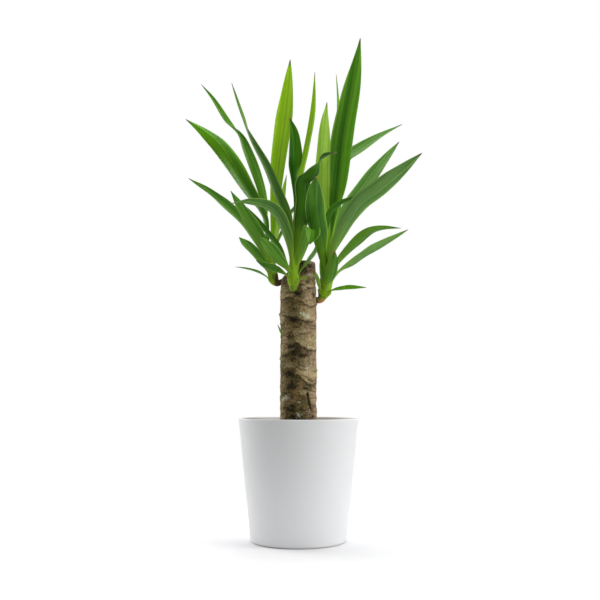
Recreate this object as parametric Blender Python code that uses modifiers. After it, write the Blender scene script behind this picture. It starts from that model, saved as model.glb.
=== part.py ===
"""A potted yucca: a tapered pot, the soil in it, a sawn cane and three heads of sword-shaped leaves.

The origin is the middle of the pot's foot, +Z is up and the front, where the front head grows, faces -Y.
Every size is in metres, except the leaves' points and widths, which are in millimetres in their table.
"""

from collections import namedtuple
from math import cos, radians, sin

import bmesh
import bpy
from mathutils import Matrix, Quaternion, Vector

MM = 0.001
GAP = 0.0003  # what is left between two pieces that touch

POT_HEIGHT = 0.190
POT_RIM_RADIUS = 0.095
POT_FOOT_RADIUS = 0.075
POT_WALL = 0.0045
POT_FLOOR = 0.008
POT_RIM_ROUND = 0.0014
POT_FOOT_ROUND = 0.003

SOIL_LEVEL = 0.168
SOIL_CROWN = 0.003  # how much higher the soil lies at the cane than at the wall
SOIL_EDGE = 0.012  # the width of the flatter band of soil along the wall

CANE_RADIUS = 0.029
CANE_NECK_RADIUS = 0.0275
CANE_FOOT = 0.080
CANE_NECK = 0.404  # the height above which the cane is at its narrowest
CANE_TOP = 0.440
CANE_TOP_ROUND = 0.003
CANE_WAISTS = {0.392: 0, 0.355: 0.0006, 0.315: -0.0004, 0.270: 0.0006, 0.225: -0.0003}  # height: swell
CANE_SHOULDER = 0.413  # the height of the low, left side of the saw cut
CANE_SHOULDER_REACH = 0.004  # where the slanted part of the cut starts, right of the axis

SAW_CUT_SIZE = 0.12  # the side of the box that cuts the slanted shoulder

LEAF_THICKNESS = 0.0009
LEAF_ROWS = 13
LEAF_WIDEST = 0.52  # where along the leaf it is widest
LEAF_BASE_SHARE = 0.30  # the width at the base, as a share of the widest
LEAF_TIP_SHARE = 0.05
TAPER_POWER = 1.9  # how long the leaf stays wide before it narrows to its tip
LEAF_CHANNEL = 0.22  # how far the edges stand up, as a share of half the width
TURN_DONE = 0.35  # the share of its length over which a leaf turns its face
SEAT_DEPTH = 0.55  # how far out from its shoot's axis a leaf starts, as a share of the shoot's radius

CURVE_STEPS = 40  # how finely a smooth line is worked out between two of its points
SHOOT_ROWS = 10
SHOOT_ROUND = 3  # the bevel's resolution round a shoot

ROUND_STEPS = 40
SCREW_WELD = 1e-4
WELD = 1e-6

Shoot = namedtuple("Shoot", "points radii")
Leaf = namedtuple("Leaf", "at seat turn twist width points")

# Each shoot runs from inside the cane to its growing tip. Points and radii are in millimetres.
SHOOTS = {
    "left": Shoot([(-22, 2, 412), (-36, 4, 407), (-42, 4, 424), (-47, 4, 450)], [6, 8, 8, 5]),
    "front": Shoot([(-9, -21, 393), (-8, -32, 396), (-8, -37, 412), (-7, -39, 440)], [7, 7.5, 8, 5]),
    "right": Shoot([(22, 0, 381), (35, 0, 379), (42, 0, 396), (46, 0, 438)], [6, 9, 10, 6]),
}

# The leaves of each head, from the lowest up. "at" is the place along the shoot and "seat" the compass
# angle at which the leaf leaves it, "turn" how far it then turns its face and "twist" how much further
# it turns up to its tip, all in degrees. The points after the seat run to the tip.
LEAVES = {
    "left": [
        Leaf(0.36, 185, 0, 0, 15, [(-62, 2, 422), (-78, -4, 427), (-102, -14, 431)]),
        Leaf(0.40, 200, 35, 0, 20, [(-62, -12, 442), (-93, -52, 472)]),
        Leaf(0.58, 195, 25, 0, 24, [(-60, -8, 455), (-87, -22, 497), (-134, -45, 539), (-172, -65, 563)]),
        Leaf(0.76, 280, -5, 0, 21, [(-57, -38, 463), (-82, -70, 500), (-104, -98, 535)]),
        Leaf(0.78, 215, -60, 140, 31,
             [(-53, -6, 480), (-56, -4, 510), (-88, 12, 570), (-133, 32, 644), (-194, 50, 697)]),
        Leaf(0.72, 95, 0, 0, 14, [(-41, 40, 482), (-31, 72, 547), (-21, 98, 612)]),
        Leaf(0.78, 30, 5, 0, 16, [(-35, 18, 472), (-21, 36, 506), (-11, 50, 532), (56, 95, 617)]),
        Leaf(0.86, 178, 135, -130, 18,
             [(-55, 14, 501), (-61, 26, 564), (-92, 46, 648), (-107, 54, 675), (-121, 60, 691),
              (-149, 72, 740), (-172, 82, 771)]),
        Leaf(0.97, 40, 30, 0, 29,
             [(-41, 18, 480), (-38, 34, 551), (-32, 52, 625), (-20, 80, 740), (-15, 100, 824)]),
    ],
    "front": [
        Leaf(0.40, -20, 45, 0, 7, [(9, -50, 408), (20, -54, 403)]),
        Leaf(0.45, 200, 50, 0, 13, [(-32, -50, 420), (-49, -66, 424), (-65, -80, 431)]),
        Leaf(0.52, 240, 25, 0, 21, [(-32, -62, 437), (-58, -96, 465)]),
        Leaf(0.50, 10, 50, 0, 9,
             [(9, -42, 427), (17, -34, 438), (24, -12, 451), (29, -1, 463), (33, 3, 482)]),
        Leaf(0.62, 165, 50, 0, 14, [(-30, -40, 456), (-50, -36, 481), (-82, -30, 525)]),
        Leaf(0.66, -78, 0, 0, 25,
             [(3, -48, 440), (10, -56, 463), (18, -68, 480), (21, -82, 476), (17, -93, 453)]),
        Leaf(0.72, 235, 2, 0, 24, [(-19, -56, 475), (-40, -72, 510), (-73, -96, 516), (-101, -112, 512)]),
        Leaf(0.82, 195, 93, -125, 21,
             [(-12, -44, 470), (-17, -56, 506), (-36, -70, 544), (-52, -82, 578), (-72, -94, 616),
              (-87, -104, 655), (-102, -112, 700)]),
        Leaf(0.88, -75, 0, 0, 19,
             [(0, -50, 484), (7, -66, 528), (5, -78, 553), (22, -92, 565), (58, -118, 592)]),
        Leaf(0.80, 10, 35, 0, 17,
             [(3, -34, 455), (3, -24, 491), (1, -8, 573), (12, 6, 627), (23, 22, 701), (27, 36, 776)]),
        Leaf(0.96, 80, 15, 0, 26,
             [(-8, -38, 480), (-5, -44, 533), (-6, -50, 572), (-6, -60, 635), (-14, -66, 662)]),
    ],
    "right": [
        Leaf(0.38, -20, -40, 0, 10, [(62, -16, 394), (82, -28, 395), (107, -42, 394)]),
        Leaf(0.42, 215, 0, 0, 7, [(34, -14, 396), (29, -22, 413), (21, -28, 426)]),
        Leaf(0.46, 0, -35, 0, 19,
             [(66, 0, 424), (92, 8, 442), (120, 18, 462), (153, 30, 482), (185, 42, 503)]),
        Leaf(0.50, -70, -20, 0, 20, [(48, -16, 406), (55, -22, 432), (58, -28, 455)]),
        Leaf(0.58, 190, -30, 0, 7, [(36, -8, 405), (30, -12, 451)]),
        Leaf(0.60, -35, -30, 0, 19,
             [(65, -18, 439), (94, -42, 467), (112, -58, 479), (132, -76, 481), (156, -94, 478)]),
        Leaf(0.66, -25, -60, 0, 30, [(58, -16, 462), (95, -42, 526), (128, -56, 549), (191, -84, 598)]),
        Leaf(0.72, -60, -10, 0, 12,
             [(42, -7, 476), (51, -18, 518), (67, -26, 532), (86, -34, 539), (103, -42, 547)]),
        Leaf(0.72, 8, 72, 0, 26,
             [(59, 8, 468), (76, 24, 520), (112, 42, 577), (142, 56, 619), (175, 72, 664)]),
        Leaf(0.78, -100, 5, 0, 32,
             [(38, -12, 450), (33, -34, 478), (27, -66, 503), (25, -102, 527), (26, -134, 548)]),
        Leaf(0.87, 90, 0, 0, 22,
             [(51, 22, 475), (60, 31, 530), (66, 46, 592), (77, 57, 627), (100, 68, 646),
              (143, 84, 679), (184, 98, 705)]),
        Leaf(0.88, 182, -62, 0, 34, [(38, 20, 501), (39, 58, 618), (44, 84, 698), (50, 98, 744)]),
        Leaf(0.93, 100, 55, 0, 18,
             [(49, 14, 491), (55, 30, 566), (64, 48, 658), (69, 62, 728), (66, 72, 786)]),
        Leaf(0.97, -15, 80, 0, 42,
             [(53, -4, 461), (59, -2, 501), (65, 6, 558), (79, 22, 669), (99, 38, 781), (107, 46, 840)]),
    ],
}

# The sprout is a single small leaf on the cane's side, in millimetres.
SPROUT_WIDTH = 5
SPROUT_ROWS = 7
SPROUT_POINTS = [(-22, -15, 314), (-29, -19, 326), (-33, -21, 338)]
SPROUT_SEAT = 215

FINISHES = {
    "pot": ((0.80, 0.80, 0.79, 1), 0.45),
    "soil": ((0.035, 0.022, 0.014, 1), 0.95),
    "bark": ((0.16, 0.11, 0.065, 1), 0.90),
    "shoot": ((0.22, 0.36, 0.05, 1), 0.50),
    "leaf": ((0.06, 0.19, 0.03, 1), 0.42),
}


def clear_scene():
    for obj in list(bpy.data.objects):
        bpy.data.objects.remove(obj, do_unlink=True)


def make_collection(name, hidden=False):
    collection = bpy.data.collections.new(name)
    bpy.context.scene.collection.children.link(collection)
    collection.hide_render = hidden
    return collection


def make_finish(name):
    colour, roughness = FINISHES[name]
    material = bpy.data.materials.new(name)
    material.diffuse_color = colour
    material.use_nodes = True
    shader = material.node_tree.nodes["Principled BSDF"]
    shader.inputs["Base Color"].default_value = colour
    shader.inputs["Roughness"].default_value = roughness
    return material


def add_object(name, mesh, collection, material=None):
    obj = bpy.data.objects.new(name, mesh)
    collection.objects.link(obj)
    if material:
        mesh.materials.append(material)
    else:
        obj.hide_render = True
        obj.display_type = "WIRE"
    return obj


def cut(obj, cutter):
    modifier = obj.modifiers.new(f"cut by {cutter.name}", "BOOLEAN")
    modifier.operation = "DIFFERENCE"
    modifier.object = cutter


def arc(centre, radius, start, end, steps=4):
    """Points of a profile's round corner, as (radius, height) pairs, with its angles in degrees."""
    angles = [radians(start + (end - start) * i / steps) for i in range(steps + 1)]
    return [(centre[0] + radius * cos(a), centre[1] + radius * sin(a)) for a in angles]


def turned(name, profile, collection, material=None):
    """A solid turned about Z from (radius, height) points that run down its outer side."""
    mesh = bpy.data.meshes.new(name)
    edges = [(i, i + 1) for i in range(len(profile) - 1)]
    mesh.from_pydata([(radius, 0, height) for radius, height in profile], edges, [])
    obj = add_object(name, mesh, collection, material)
    screw = obj.modifiers.new("turn", "SCREW")
    screw.steps = screw.render_steps = ROUND_STEPS
    screw.use_merge_vertices = True
    screw.merge_threshold = SCREW_WELD
    screw.use_smooth_shade = True
    return obj


def pot_radius(height):
    """The pot's outer radius at a height."""
    return POT_FOOT_RADIUS + (POT_RIM_RADIUS - POT_FOOT_RADIUS) * height / POT_HEIGHT


def make_pot(collection, material):
    inner_rim = POT_RIM_RADIUS - POT_WALL + POT_RIM_ROUND
    outer_rim = POT_RIM_RADIUS - POT_RIM_ROUND
    rim_height = POT_HEIGHT - POT_RIM_ROUND
    profile = [(0, POT_FLOOR), (pot_radius(POT_FLOOR) - POT_WALL, POT_FLOOR)]
    profile += arc((inner_rim, rim_height), POT_RIM_ROUND, 180, 90, 3)
    profile += arc((outer_rim, rim_height), POT_RIM_ROUND, 90, 0, 3)
    profile += arc((POT_FOOT_RADIUS - POT_FOOT_ROUND, POT_FOOT_ROUND), POT_FOOT_ROUND, 0, -90)
    profile += [(0, 0)]
    return turned("pot", profile, collection, material)


def make_soil(collection, material):
    socket = CANE_RADIUS + GAP
    floor = POT_FLOOR + GAP
    wall = POT_WALL + GAP
    profile = [
        (0, CANE_FOOT - GAP),
        (socket, CANE_FOOT - GAP),
        (socket, SOIL_LEVEL + SOIL_CROWN),
        (pot_radius(SOIL_LEVEL) - wall - SOIL_EDGE, SOIL_LEVEL + SOIL_CROWN / 3),
        (pot_radius(SOIL_LEVEL) - wall, SOIL_LEVEL),
        (pot_radius(floor) - wall, floor),
        (0, floor),
    ]
    return turned("soil", profile, collection, material)


def cane_profile(grow):
    """The cane's turned outline, from the top down, a little swollen and waisted above the soil."""
    neck = CANE_NECK_RADIUS + grow
    top = CANE_TOP + grow
    profile = [(0, top), (neck - CANE_TOP_ROUND, top), (neck, top - CANE_TOP_ROUND)]
    profile += [(neck, CANE_NECK)]
    profile += [(CANE_RADIUS + grow + swell, height) for height, swell in CANE_WAISTS.items()]
    profile += [(CANE_RADIUS + grow, SOIL_LEVEL + SOIL_CROWN), (CANE_RADIUS + grow, CANE_FOOT)]
    return profile + [(0, CANE_FOOT)]


def make_saw_cut(collection, grow):
    """A box whose lower face is the slanted, left part of the saw cut."""
    reach = CANE_SHOULDER_REACH + CANE_NECK_RADIUS
    slope = Vector((reach, 0, CANE_TOP - CANE_SHOULDER)).normalized()
    mesh = bpy.data.meshes.new("saw_cut")
    shape = bmesh.new()
    bmesh.ops.create_cube(shape, size=SAW_CUT_SIZE)
    shape.to_mesh(mesh)
    shape.free()
    obj = add_object(f"saw_cut_{round(grow * 1e6)}", mesh, collection)
    tilt = Vector((1, 0, 0)).rotation_difference(slope).to_matrix()
    start = Vector((CANE_SHOULDER_REACH, 0, CANE_TOP + grow))
    centre = start + tilt @ Vector((0, 0, SAW_CUT_SIZE / 2))
    obj.matrix_world = Matrix.Translation(centre) @ tilt.to_4x4()
    return obj


def make_cane(name, collection, cutters, material=None, grow=0.0):
    cane = turned(name, cane_profile(grow), collection, material)
    cut(cane, make_saw_cut(cutters, grow))
    return cane


def smooth(points, count):
    """Evenly spaced points along a smooth curve through the given ones."""
    knots = [Vector(p) for p in points]
    first, last = knots[0] * 2 - knots[1], knots[-1] * 2 - knots[-2]
    ends = [first, *knots, last]
    fine = []
    for before, start, end, after in zip(ends, ends[1:], ends[2:], ends[3:]):
        span = (end - start).length
        leave = (end - before) * (span / ((end - start).length + (start - before).length))
        arrive = (after - start) * (span / ((after - end).length + (end - start).length))
        for i in range(CURVE_STEPS):
            t = i / CURVE_STEPS
            fine.append(
                start * (2 * t**3 - 3 * t**2 + 1)
                + leave * (t**3 - 2 * t**2 + t)
                + end * (3 * t**2 - 2 * t**3)
                + arrive * (t**3 - t**2)
            )
    fine.append(knots[-1])
    return evenly(fine, count)


def evenly(line, count):
    """The line read again at evenly spaced lengths."""
    lengths = [0.0]
    for a, b in zip(line, line[1:]):
        lengths.append(lengths[-1] + (b - a).length)
    found = []
    step = 0
    for i in range(count):
        wanted = lengths[-1] * i / (count - 1)
        while step < len(line) - 2 and lengths[step + 1] < wanted:
            step += 1
        share = (wanted - lengths[step]) / (lengths[step + 1] - lengths[step])
        found.append(line[step].lerp(line[step + 1], min(share, 1.0)))
    return found


def shoot_line(shoot, count):
    """The shoot's middle line with its radii, both in metres."""
    line = smooth([Vector(p) * MM for p in shoot.points], count)
    radii = smooth([(r * MM, i * MM, 0) for i, r in enumerate(shoot.radii)], count)
    return line, [r.x for r in radii]


def make_shoot(shoot, name, collection, material=None, grow=0.0):
    """A tapering tube along the shoot's line, made a mesh so that the cane can be cut out of it."""
    line, radii = shoot_line(shoot, SHOOT_ROWS)
    line[-1] = line[-1] + (line[-1] - line[-2]).normalized() * grow
    curve = bpy.data.curves.new(name, "CURVE")
    curve.dimensions = "3D"
    curve.bevel_depth = 1.0
    curve.bevel_resolution = SHOOT_ROUND
    curve.use_fill_caps = True
    spline = curve.splines.new("POLY")
    spline.points.add(len(line) - 1)
    for point, place, radius in zip(spline.points, line, radii):
        point.co = (*place, 1)
        point.radius = radius + grow
    tube = bpy.data.objects.new(name, curve)
    bpy.context.scene.collection.objects.link(tube)
    mesh = bpy.data.meshes.new_from_object(tube.evaluated_get(bpy.context.evaluated_depsgraph_get()))
    bpy.data.objects.remove(tube)
    bpy.data.curves.remove(curve)
    shape = bmesh.new()
    shape.from_mesh(mesh)
    bmesh.ops.remove_doubles(shape, verts=shape.verts, dist=WELD)
    bmesh.ops.recalc_face_normals(shape, faces=shape.faces)
    shape.to_mesh(mesh)
    shape.free()
    mesh.shade_smooth()
    mesh.name = name
    return add_object(name, mesh, collection, material)


def ease(share):
    share = min(max(share, 0.0), 1.0)
    return share * share * (3 - 2 * share)


def width_share(share):
    """How wide a leaf is at a share of its length, compared with its widest place."""
    if share < LEAF_WIDEST:
        return LEAF_BASE_SHARE + (1 - LEAF_BASE_SHARE) * ease(share / LEAF_WIDEST)
    taper = 1 - ((share - LEAF_WIDEST) / (1 - LEAF_WIDEST)) ** TAPER_POWER
    return max(taper, LEAF_TIP_SHARE)


def leaf_mesh(name, line, seat, turn, twist, width):
    """An open, slightly channelled blade along a line. Its face starts square to the seat's direction."""
    tangents = [(b - a).normalized() for a, b in zip(line, line[1:])]
    tangents.append(tangents[-1])
    side = Vector((-sin(radians(seat)), cos(radians(seat)), 0))
    side = (side - tangents[0] * side.dot(tangents[0])).normalized()
    verts = []
    for i, (place, tangent) in enumerate(zip(line, tangents)):
        share = i / (len(line) - 1)
        if i:
            side = tangents[i - 1].rotation_difference(tangent) @ side
        angle = radians(turn * ease(share / TURN_DONE) + twist * share)
        across = Quaternion(tangent, angle) @ side
        inner_face = tangent.cross(across)
        half = width * width_share(share) / 2
        raised = inner_face * half * LEAF_CHANNEL
        verts += [place - across * half + raised, place, place + across * half + raised]
    faces = []
    for row in range(len(line) - 1):
        for column in range(2):
            corner = row * 3 + column
            faces.append((corner, corner + 1, corner + 4, corner + 3))
    mesh = bpy.data.meshes.new(name)
    mesh.from_pydata(verts, [], faces)
    mesh.shade_smooth()
    return mesh


def thicken(obj):
    solidify = obj.modifiers.new("thickness", "SOLIDIFY")
    solidify.thickness = LEAF_THICKNESS
    solidify.offset = 0


def make_leaf(name, leaf, shoot, collection, material):
    """A leaf that starts inside its shoot and is cut back to the shoot's skin."""
    line, radii = shoot_line(shoot, CURVE_STEPS + 1)
    place = round(leaf.at * CURVE_STEPS)
    outwards = Vector((cos(radians(leaf.seat)), sin(radians(leaf.seat)), 0))
    seat = line[place] + outwards * radii[place] * SEAT_DEPTH
    points = [seat] + [Vector(p) * MM for p in leaf.points]
    spine = smooth(points, LEAF_ROWS)
    mesh = leaf_mesh(name, spine, leaf.seat, leaf.turn, leaf.twist, leaf.width * MM)
    obj = add_object(name, mesh, collection, material)
    thicken(obj)
    return obj


def make_head(side, collection, cutters, cane_cutter, finishes):
    shoot = SHOOTS[side]
    stem = make_shoot(shoot, f"{side}_shoot", collection, finishes["shoot"])
    cut(stem, cane_cutter)
    stem_cutter = make_shoot(shoot, f"{side}_seats", cutters, grow=GAP)
    for number, leaf in enumerate(LEAVES[side], 1):
        blade = make_leaf(f"{side}_leaf_{number:02d}", leaf, shoot, collection, finishes["leaf"])
        cut(blade, stem_cutter)


def make_sprout(collection, cane_cutter, material):
    line = smooth([Vector(p) * MM for p in SPROUT_POINTS], SPROUT_ROWS)
    mesh = leaf_mesh("cane_sprout", line, SPROUT_SEAT, 0, 0, SPROUT_WIDTH * MM)
    sprout = add_object("cane_sprout", mesh, collection, material)
    thicken(sprout)
    cut(sprout, cane_cutter)


def main():
    clear_scene()
    yucca = make_collection("potted_yucca")
    cutters = make_collection("cutters", hidden=True)
    finishes = {name: make_finish(name) for name in FINISHES}
    make_pot(yucca, finishes["pot"])
    make_soil(yucca, finishes["soil"])
    make_cane("cane", yucca, cutters, finishes["bark"])
    cane_cutter = make_cane("cane_seats", cutters, cutters, grow=GAP)
    for side in SHOOTS:
        make_head(side, yucca, cutters, cane_cutter, finishes)
    make_sprout(yucca, cane_cutter, finishes["leaf"])


main()
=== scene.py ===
"""The looks of a potted yucca: a white pot, its soil, a scarred cane and three heads of leaves.

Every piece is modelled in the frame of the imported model: metres, +Z up, the pot's foot on the floor at
the origin and the front facing -Y. Points and widths of leaves and shoots are in millimetres.
"""

import logging
import random
from collections.abc import Callable, Iterator, Sequence
from contextlib import contextmanager
from dataclasses import dataclass
from enum import Enum
from itertools import accumulate
from math import cos, pi, radians, sin
from typing import Any

import bmesh
import bpy
import numpy as np
from mathutils import Matrix, Quaternion, Vector, noise


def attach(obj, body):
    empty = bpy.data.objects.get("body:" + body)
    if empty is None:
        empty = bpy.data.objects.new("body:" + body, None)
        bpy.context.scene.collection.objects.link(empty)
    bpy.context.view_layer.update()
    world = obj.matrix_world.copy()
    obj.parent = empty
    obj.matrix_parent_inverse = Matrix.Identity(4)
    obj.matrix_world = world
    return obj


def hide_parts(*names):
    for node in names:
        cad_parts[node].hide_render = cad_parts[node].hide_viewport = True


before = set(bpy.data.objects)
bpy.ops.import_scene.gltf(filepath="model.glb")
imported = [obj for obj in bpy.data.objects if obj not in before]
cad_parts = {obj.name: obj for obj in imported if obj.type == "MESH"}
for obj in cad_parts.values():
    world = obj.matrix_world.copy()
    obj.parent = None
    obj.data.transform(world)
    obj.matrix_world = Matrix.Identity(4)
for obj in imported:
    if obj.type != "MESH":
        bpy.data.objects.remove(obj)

LOG = logging.getLogger("yucca")
BODY = "root"
MM = 0.001
TOUCHING = 1e-6  # what lies closer than this is at the same place
CANE_FOOT = 0.080  # the height of the cane's lower end, in the soil
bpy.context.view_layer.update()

Colour = tuple[float, float, float]
Point = tuple[float, float, float]


# ---------------------------------------------------------------- shader trees


def operator(operation: str, swapped: bool = False) -> Callable[["Value", "Value | float"], "Value"]:
    """Makes the method behind one of Python's operators.

    Args:
        operation: The Math node's operation.
        swapped: Whether the other number comes first.

    Returns:
        The method, which adds that node.
    """

    def method(value: "Value", other: "Value | float") -> "Value":
        """Adds the node."""
        terms = (other, value) if swapped else (value, other)
        return value.maths(operation, *terms)

    return method


class Value:
    """A number in a shader tree. Python's operators on it add Math nodes."""

    __add__ = operator("ADD")
    __radd__ = operator("ADD", swapped=True)
    __sub__ = operator("SUBTRACT")
    __rsub__ = operator("SUBTRACT", swapped=True)
    __mul__ = operator("MULTIPLY")
    __rmul__ = operator("MULTIPLY", swapped=True)
    __pow__ = operator("POWER")

    def __init__(self, tree: "Tree", socket: bpy.types.NodeSocket) -> None:
        """Wraps the output of a tree's node that holds the number."""
        self.tree = tree
        self.socket = socket

    def __abs__(self) -> "Value":
        """The size without its sign."""
        return self.maths("ABSOLUTE", self)

    def maths(self, operation: str, *terms: "Value | float", clamp: bool = False) -> "Value":
        """The result of one Math node, kept between 0 and 1 if it is clamped."""
        sockets = dict(enumerate(terms))
        return self.tree.value("ShaderNodeMath", sockets, operation=operation, use_clamp=clamp)

    def clamped(self) -> "Value":
        """The number kept between 0 and 1."""
        return self.maths("ADD", self, 0.0, clamp=True)

    def rise(self, start: float, end: float) -> "Value":
        """A smooth step.

        Args:
            start: Where the step is 0.
            end: Where it reaches 1, which may be the lower of the two.

        Returns:
            0 to 1 across the step.
        """
        sockets = {0: self, 1: min(start, end), 2: max(start, end)}
        step = self.tree.value("ShaderNodeMapRange", sockets, interpolation_type="SMOOTHSTEP")
        return step if start < end else 1.0 - step


class Tree:
    """The node tree of a material or of the surroundings, with the ways of adding to it."""

    def __init__(self, name: str, world: bool = False) -> None:
        """Starts an empty tree.

        Args:
            name: The name of what it is for.
            world: Whether that is the surroundings and not a material.
        """
        self.kind = "World" if world else "Material"
        self.block = (bpy.data.worlds if world else bpy.data.materials).new(name)
        self.block.use_nodes = True
        self.graph = self.block.node_tree
        self.graph.nodes.clear()

    def node(
        self, kind: str, sockets: dict[int | str, Any] | None = None, **settings: Any
    ) -> bpy.types.Node:
        """Adds any node.

        Args:
            kind: The node's type.
            sockets: For each input, by name or number, a value or what is linked to it.
            settings: The node's own settings, which are set first.

        Returns:
            The node.
        """
        made = self.graph.nodes.new(kind)
        for name, setting in settings.items():
            setattr(made, name, setting)
        for key, given in (sockets or {}).items():
            source = given.socket if isinstance(given, Value) else given
            if isinstance(source, bpy.types.NodeSocket):
                self.graph.links.new(source, made.inputs[key])
            else:
                made.inputs[key].default_value = source
        return made

    def value(self, kind: str, sockets: dict[int | str, Any] | None = None, **settings: Any) -> Value:
        """Adds any node and wraps its first output as a number."""
        return Value(self, self.node(kind, sockets, **settings).outputs[0])

    def mix(self, factor: Value | float, first: Any, second: Any, blend: str = "MIX") -> bpy.types.NodeSocket:
        """Mixes two colours.

        Args:
            factor: How much of the second, 0 to 1.
            first: A colour or a colour's socket.
            second: Another one.
            blend: How the second is laid over the first.

        Returns:
            The mixed colour's socket.
        """
        factor_in, first_in, second_in, colour_out = 0, 6, 7, 2
        both = [(*each, 1.0) if isinstance(each, tuple) else each for each in (first, second)]
        sockets = {factor_in: factor, first_in: both[0], second_in: both[1]}
        return self.node("ShaderNodeMix", sockets, data_type="RGBA", blend_type=blend).outputs[colour_out]

    def layers(self, ground: Any, *layers: tuple[Any, ...]) -> bpy.types.NodeSocket:
        """Lays colours over a ground.

        Args:
            ground: The lowest colour.
            layers: Each layer's factor and colour, and its blending where that isn't plain, from the lowest.

        Returns:
            The finished colour's socket.
        """
        for factor, colour, *blend in layers:
            ground = self.mix(factor, ground, colour, *blend)
        return ground

    def place(self) -> bpy.types.NodeSocket:
        """The place on the piece, in metres."""
        return self.node("ShaderNodeTexCoord").outputs["Object"]

    def parts(self, vector: bpy.types.NodeSocket) -> list[Value]:
        """The three numbers of a vector."""
        split = self.node("ShaderNodeSeparateXYZ", {0: vector})
        return [Value(self, output) for output in split.outputs]

    def painted(self, *names: str) -> list[Value]:
        """The numbers painted on the piece's points under some names."""
        read = [self.node("ShaderNodeAttribute", attribute_name=name) for name in names]
        return [Value(self, node.outputs["Fac"]) for node in read]

    def grain(
        self, scale: float, detail: float = 3.0, stretch: Point = (1, 1, 1),
        place: bpy.types.NodeSocket | None = None, rough: float = 0.55, warp: float = 0.0,
    ) -> Value:
        """Soft noise between 0 and 1.

        Args:
            scale: How many blotches there are to a unit of length.
            detail: How many finer layers lie over them.
            stretch: How much denser the noise is along each axis.
            place: What it is laid on; the place on the piece if None.
            rough: How strong the finer layers are.
            warp: How much the blotches are distorted.

        Returns:
            The noise.
        """
        spot = place or self.place()
        if stretch != (1, 1, 1):
            stretched = self.node("ShaderNodeVectorMath", {0: spot, 1: stretch}, operation="MULTIPLY")
            spot = stretched.outputs[0]
        sockets = {"Vector": spot, "Scale": scale, "Detail": detail, "Roughness": rough, "Distortion": warp}
        return self.value("ShaderNodeTexNoise", sockets)

    def bump(self, height: Value, strength: float, distance: float) -> bpy.types.NodeSocket:
        """The normal once a height is raised on the surface, with 1 standing for a distance in metres."""
        sockets = {"Strength": strength, "Distance": distance, "Height": height}
        return self.node("ShaderNodeBump", sockets).outputs[0]

    def surface(self, sockets: dict[int | str, Any]) -> bpy.types.NodeSocket:
        """A Principled shader with the given sockets."""
        return self.node("ShaderNodeBsdfPrincipled", sockets).outputs[0]

    def close(self, *shaders: bpy.types.NodeSocket, factor: Any = None) -> bpy.types.ID:
        """Links the tree's output.

        Args:
            shaders: The finished shader, or two that are mixed.
            factor: How much of the second of two, 0 to 1.

        Returns:
            The material or the surroundings.
        """
        shader = shaders[0]
        if factor is not None:
            shader = self.node("ShaderNodeMixShader", dict(enumerate((factor, *shaders)))).outputs[0]
        self.node(f"ShaderNodeOutput{self.kind}", {"Surface": shader})
        return self.block


# ---------------------------------------------------------------- finishes


@dataclass(frozen=True)
class PotGlaze:
    """The matt white glaze of the pot, a little paler on its lip as a painted highlight, warmer inside as
    painted warm bounce light, and darker at its foot as painted shade.
    """

    colour: Colour = (0.83, 0.835, 0.84)
    # painted warm bounce light on the inner wall
    inside: Colour = (0.80, 0.745, 0.71)
    # painted highlight: the lip's rounding is paler
    lip: Colour = (0.90, 0.90, 0.90)
    # painted shade where the foot meets the floor
    foot: Colour = (0.60, 0.59, 0.58)
    clouded: Colour = (0.80, 0.805, 0.81)
    roughness: float = 0.46
    edge: float = 0.0006

    def material(self, wall_from_foot: float, lean: float, lip_height: float) -> bpy.types.Material:
        """Makes the glaze.

        Args:
            wall_from_foot: The radius, at the foot, of the middle of the wall.
            lean: How much the radius grows for each metre of height.
            lip_height: The height at which the lip's rounding starts.

        Returns:
            The material.
        """
        tree = Tree("pot_glaze")
        x, y, z = tree.parts(tree.place())
        radius = (x * x + y * y) ** 0.5
        # Painted warm bounce light on the inner wall.
        inside = (wall_from_foot + z * lean - radius).rise(0.0, self.edge * 2)
        # Painted highlight on the lip's rounding.
        lip_highlight = z.rise(lip_height - self.edge, lip_height + self.edge)
        # Painted shade on the lowest few millimetres, where the pot meets the floor.
        foot_shade = z.rise(0.004, 0.0005)
        clouds = tree.grain(14.0, 2.0)
        pits = tree.grain(900.0, 2.0)
        base = tree.layers(
            self.colour,
            (clouds.rise(0.35, 0.75) * 0.25, self.clouded),
            (inside, self.inside),
            (lip_highlight, self.lip),
            (foot_shade * 0.7, self.foot),
        )
        normal = tree.bump(pits * 0.4 + tree.grain(60.0, 1.0) * 0.6, 0.12, 0.0003)
        rough = self.roughness + (clouds - 0.5) * 0.10 + (pits - 0.5) * 0.06
        return tree.close(tree.surface({"Base Color": base, "Roughness": rough, "Normal": normal}))


@dataclass(frozen=True)
class Soil:
    """Dark potting soil, with a few paler crumbs and dry fibres."""

    damp: Colour = (0.020, 0.013, 0.008)
    dry: Colour = (0.085, 0.057, 0.036)
    fibre: Colour = (0.23, 0.15, 0.085)

    def material(self) -> bpy.types.Material:
        """Makes the soil's material.

        Returns:
            The material.
        """
        tree = Tree("potting_soil")
        crumbs = tree.grain(420.0, 5.0, rough=0.65)
        patches = tree.grain(38.0, 3.0)
        fibres = tree.grain(210.0, 4.0, (1.0, 4.0, 1.0), warp=1.5)
        base = tree.layers(
            self.damp,
            ((crumbs * 0.7 + patches * 0.5).rise(0.48, 0.74), self.dry),
            (fibres.rise(0.68, 0.76) * 0.8, self.fibre),
        )
        normal = tree.bump(crumbs, 0.9, 0.0016)
        sockets = {"Base Color": base, "Roughness": 0.97 - crumbs * 0.15, "Normal": normal}
        return tree.close(tree.surface(sockets))


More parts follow.
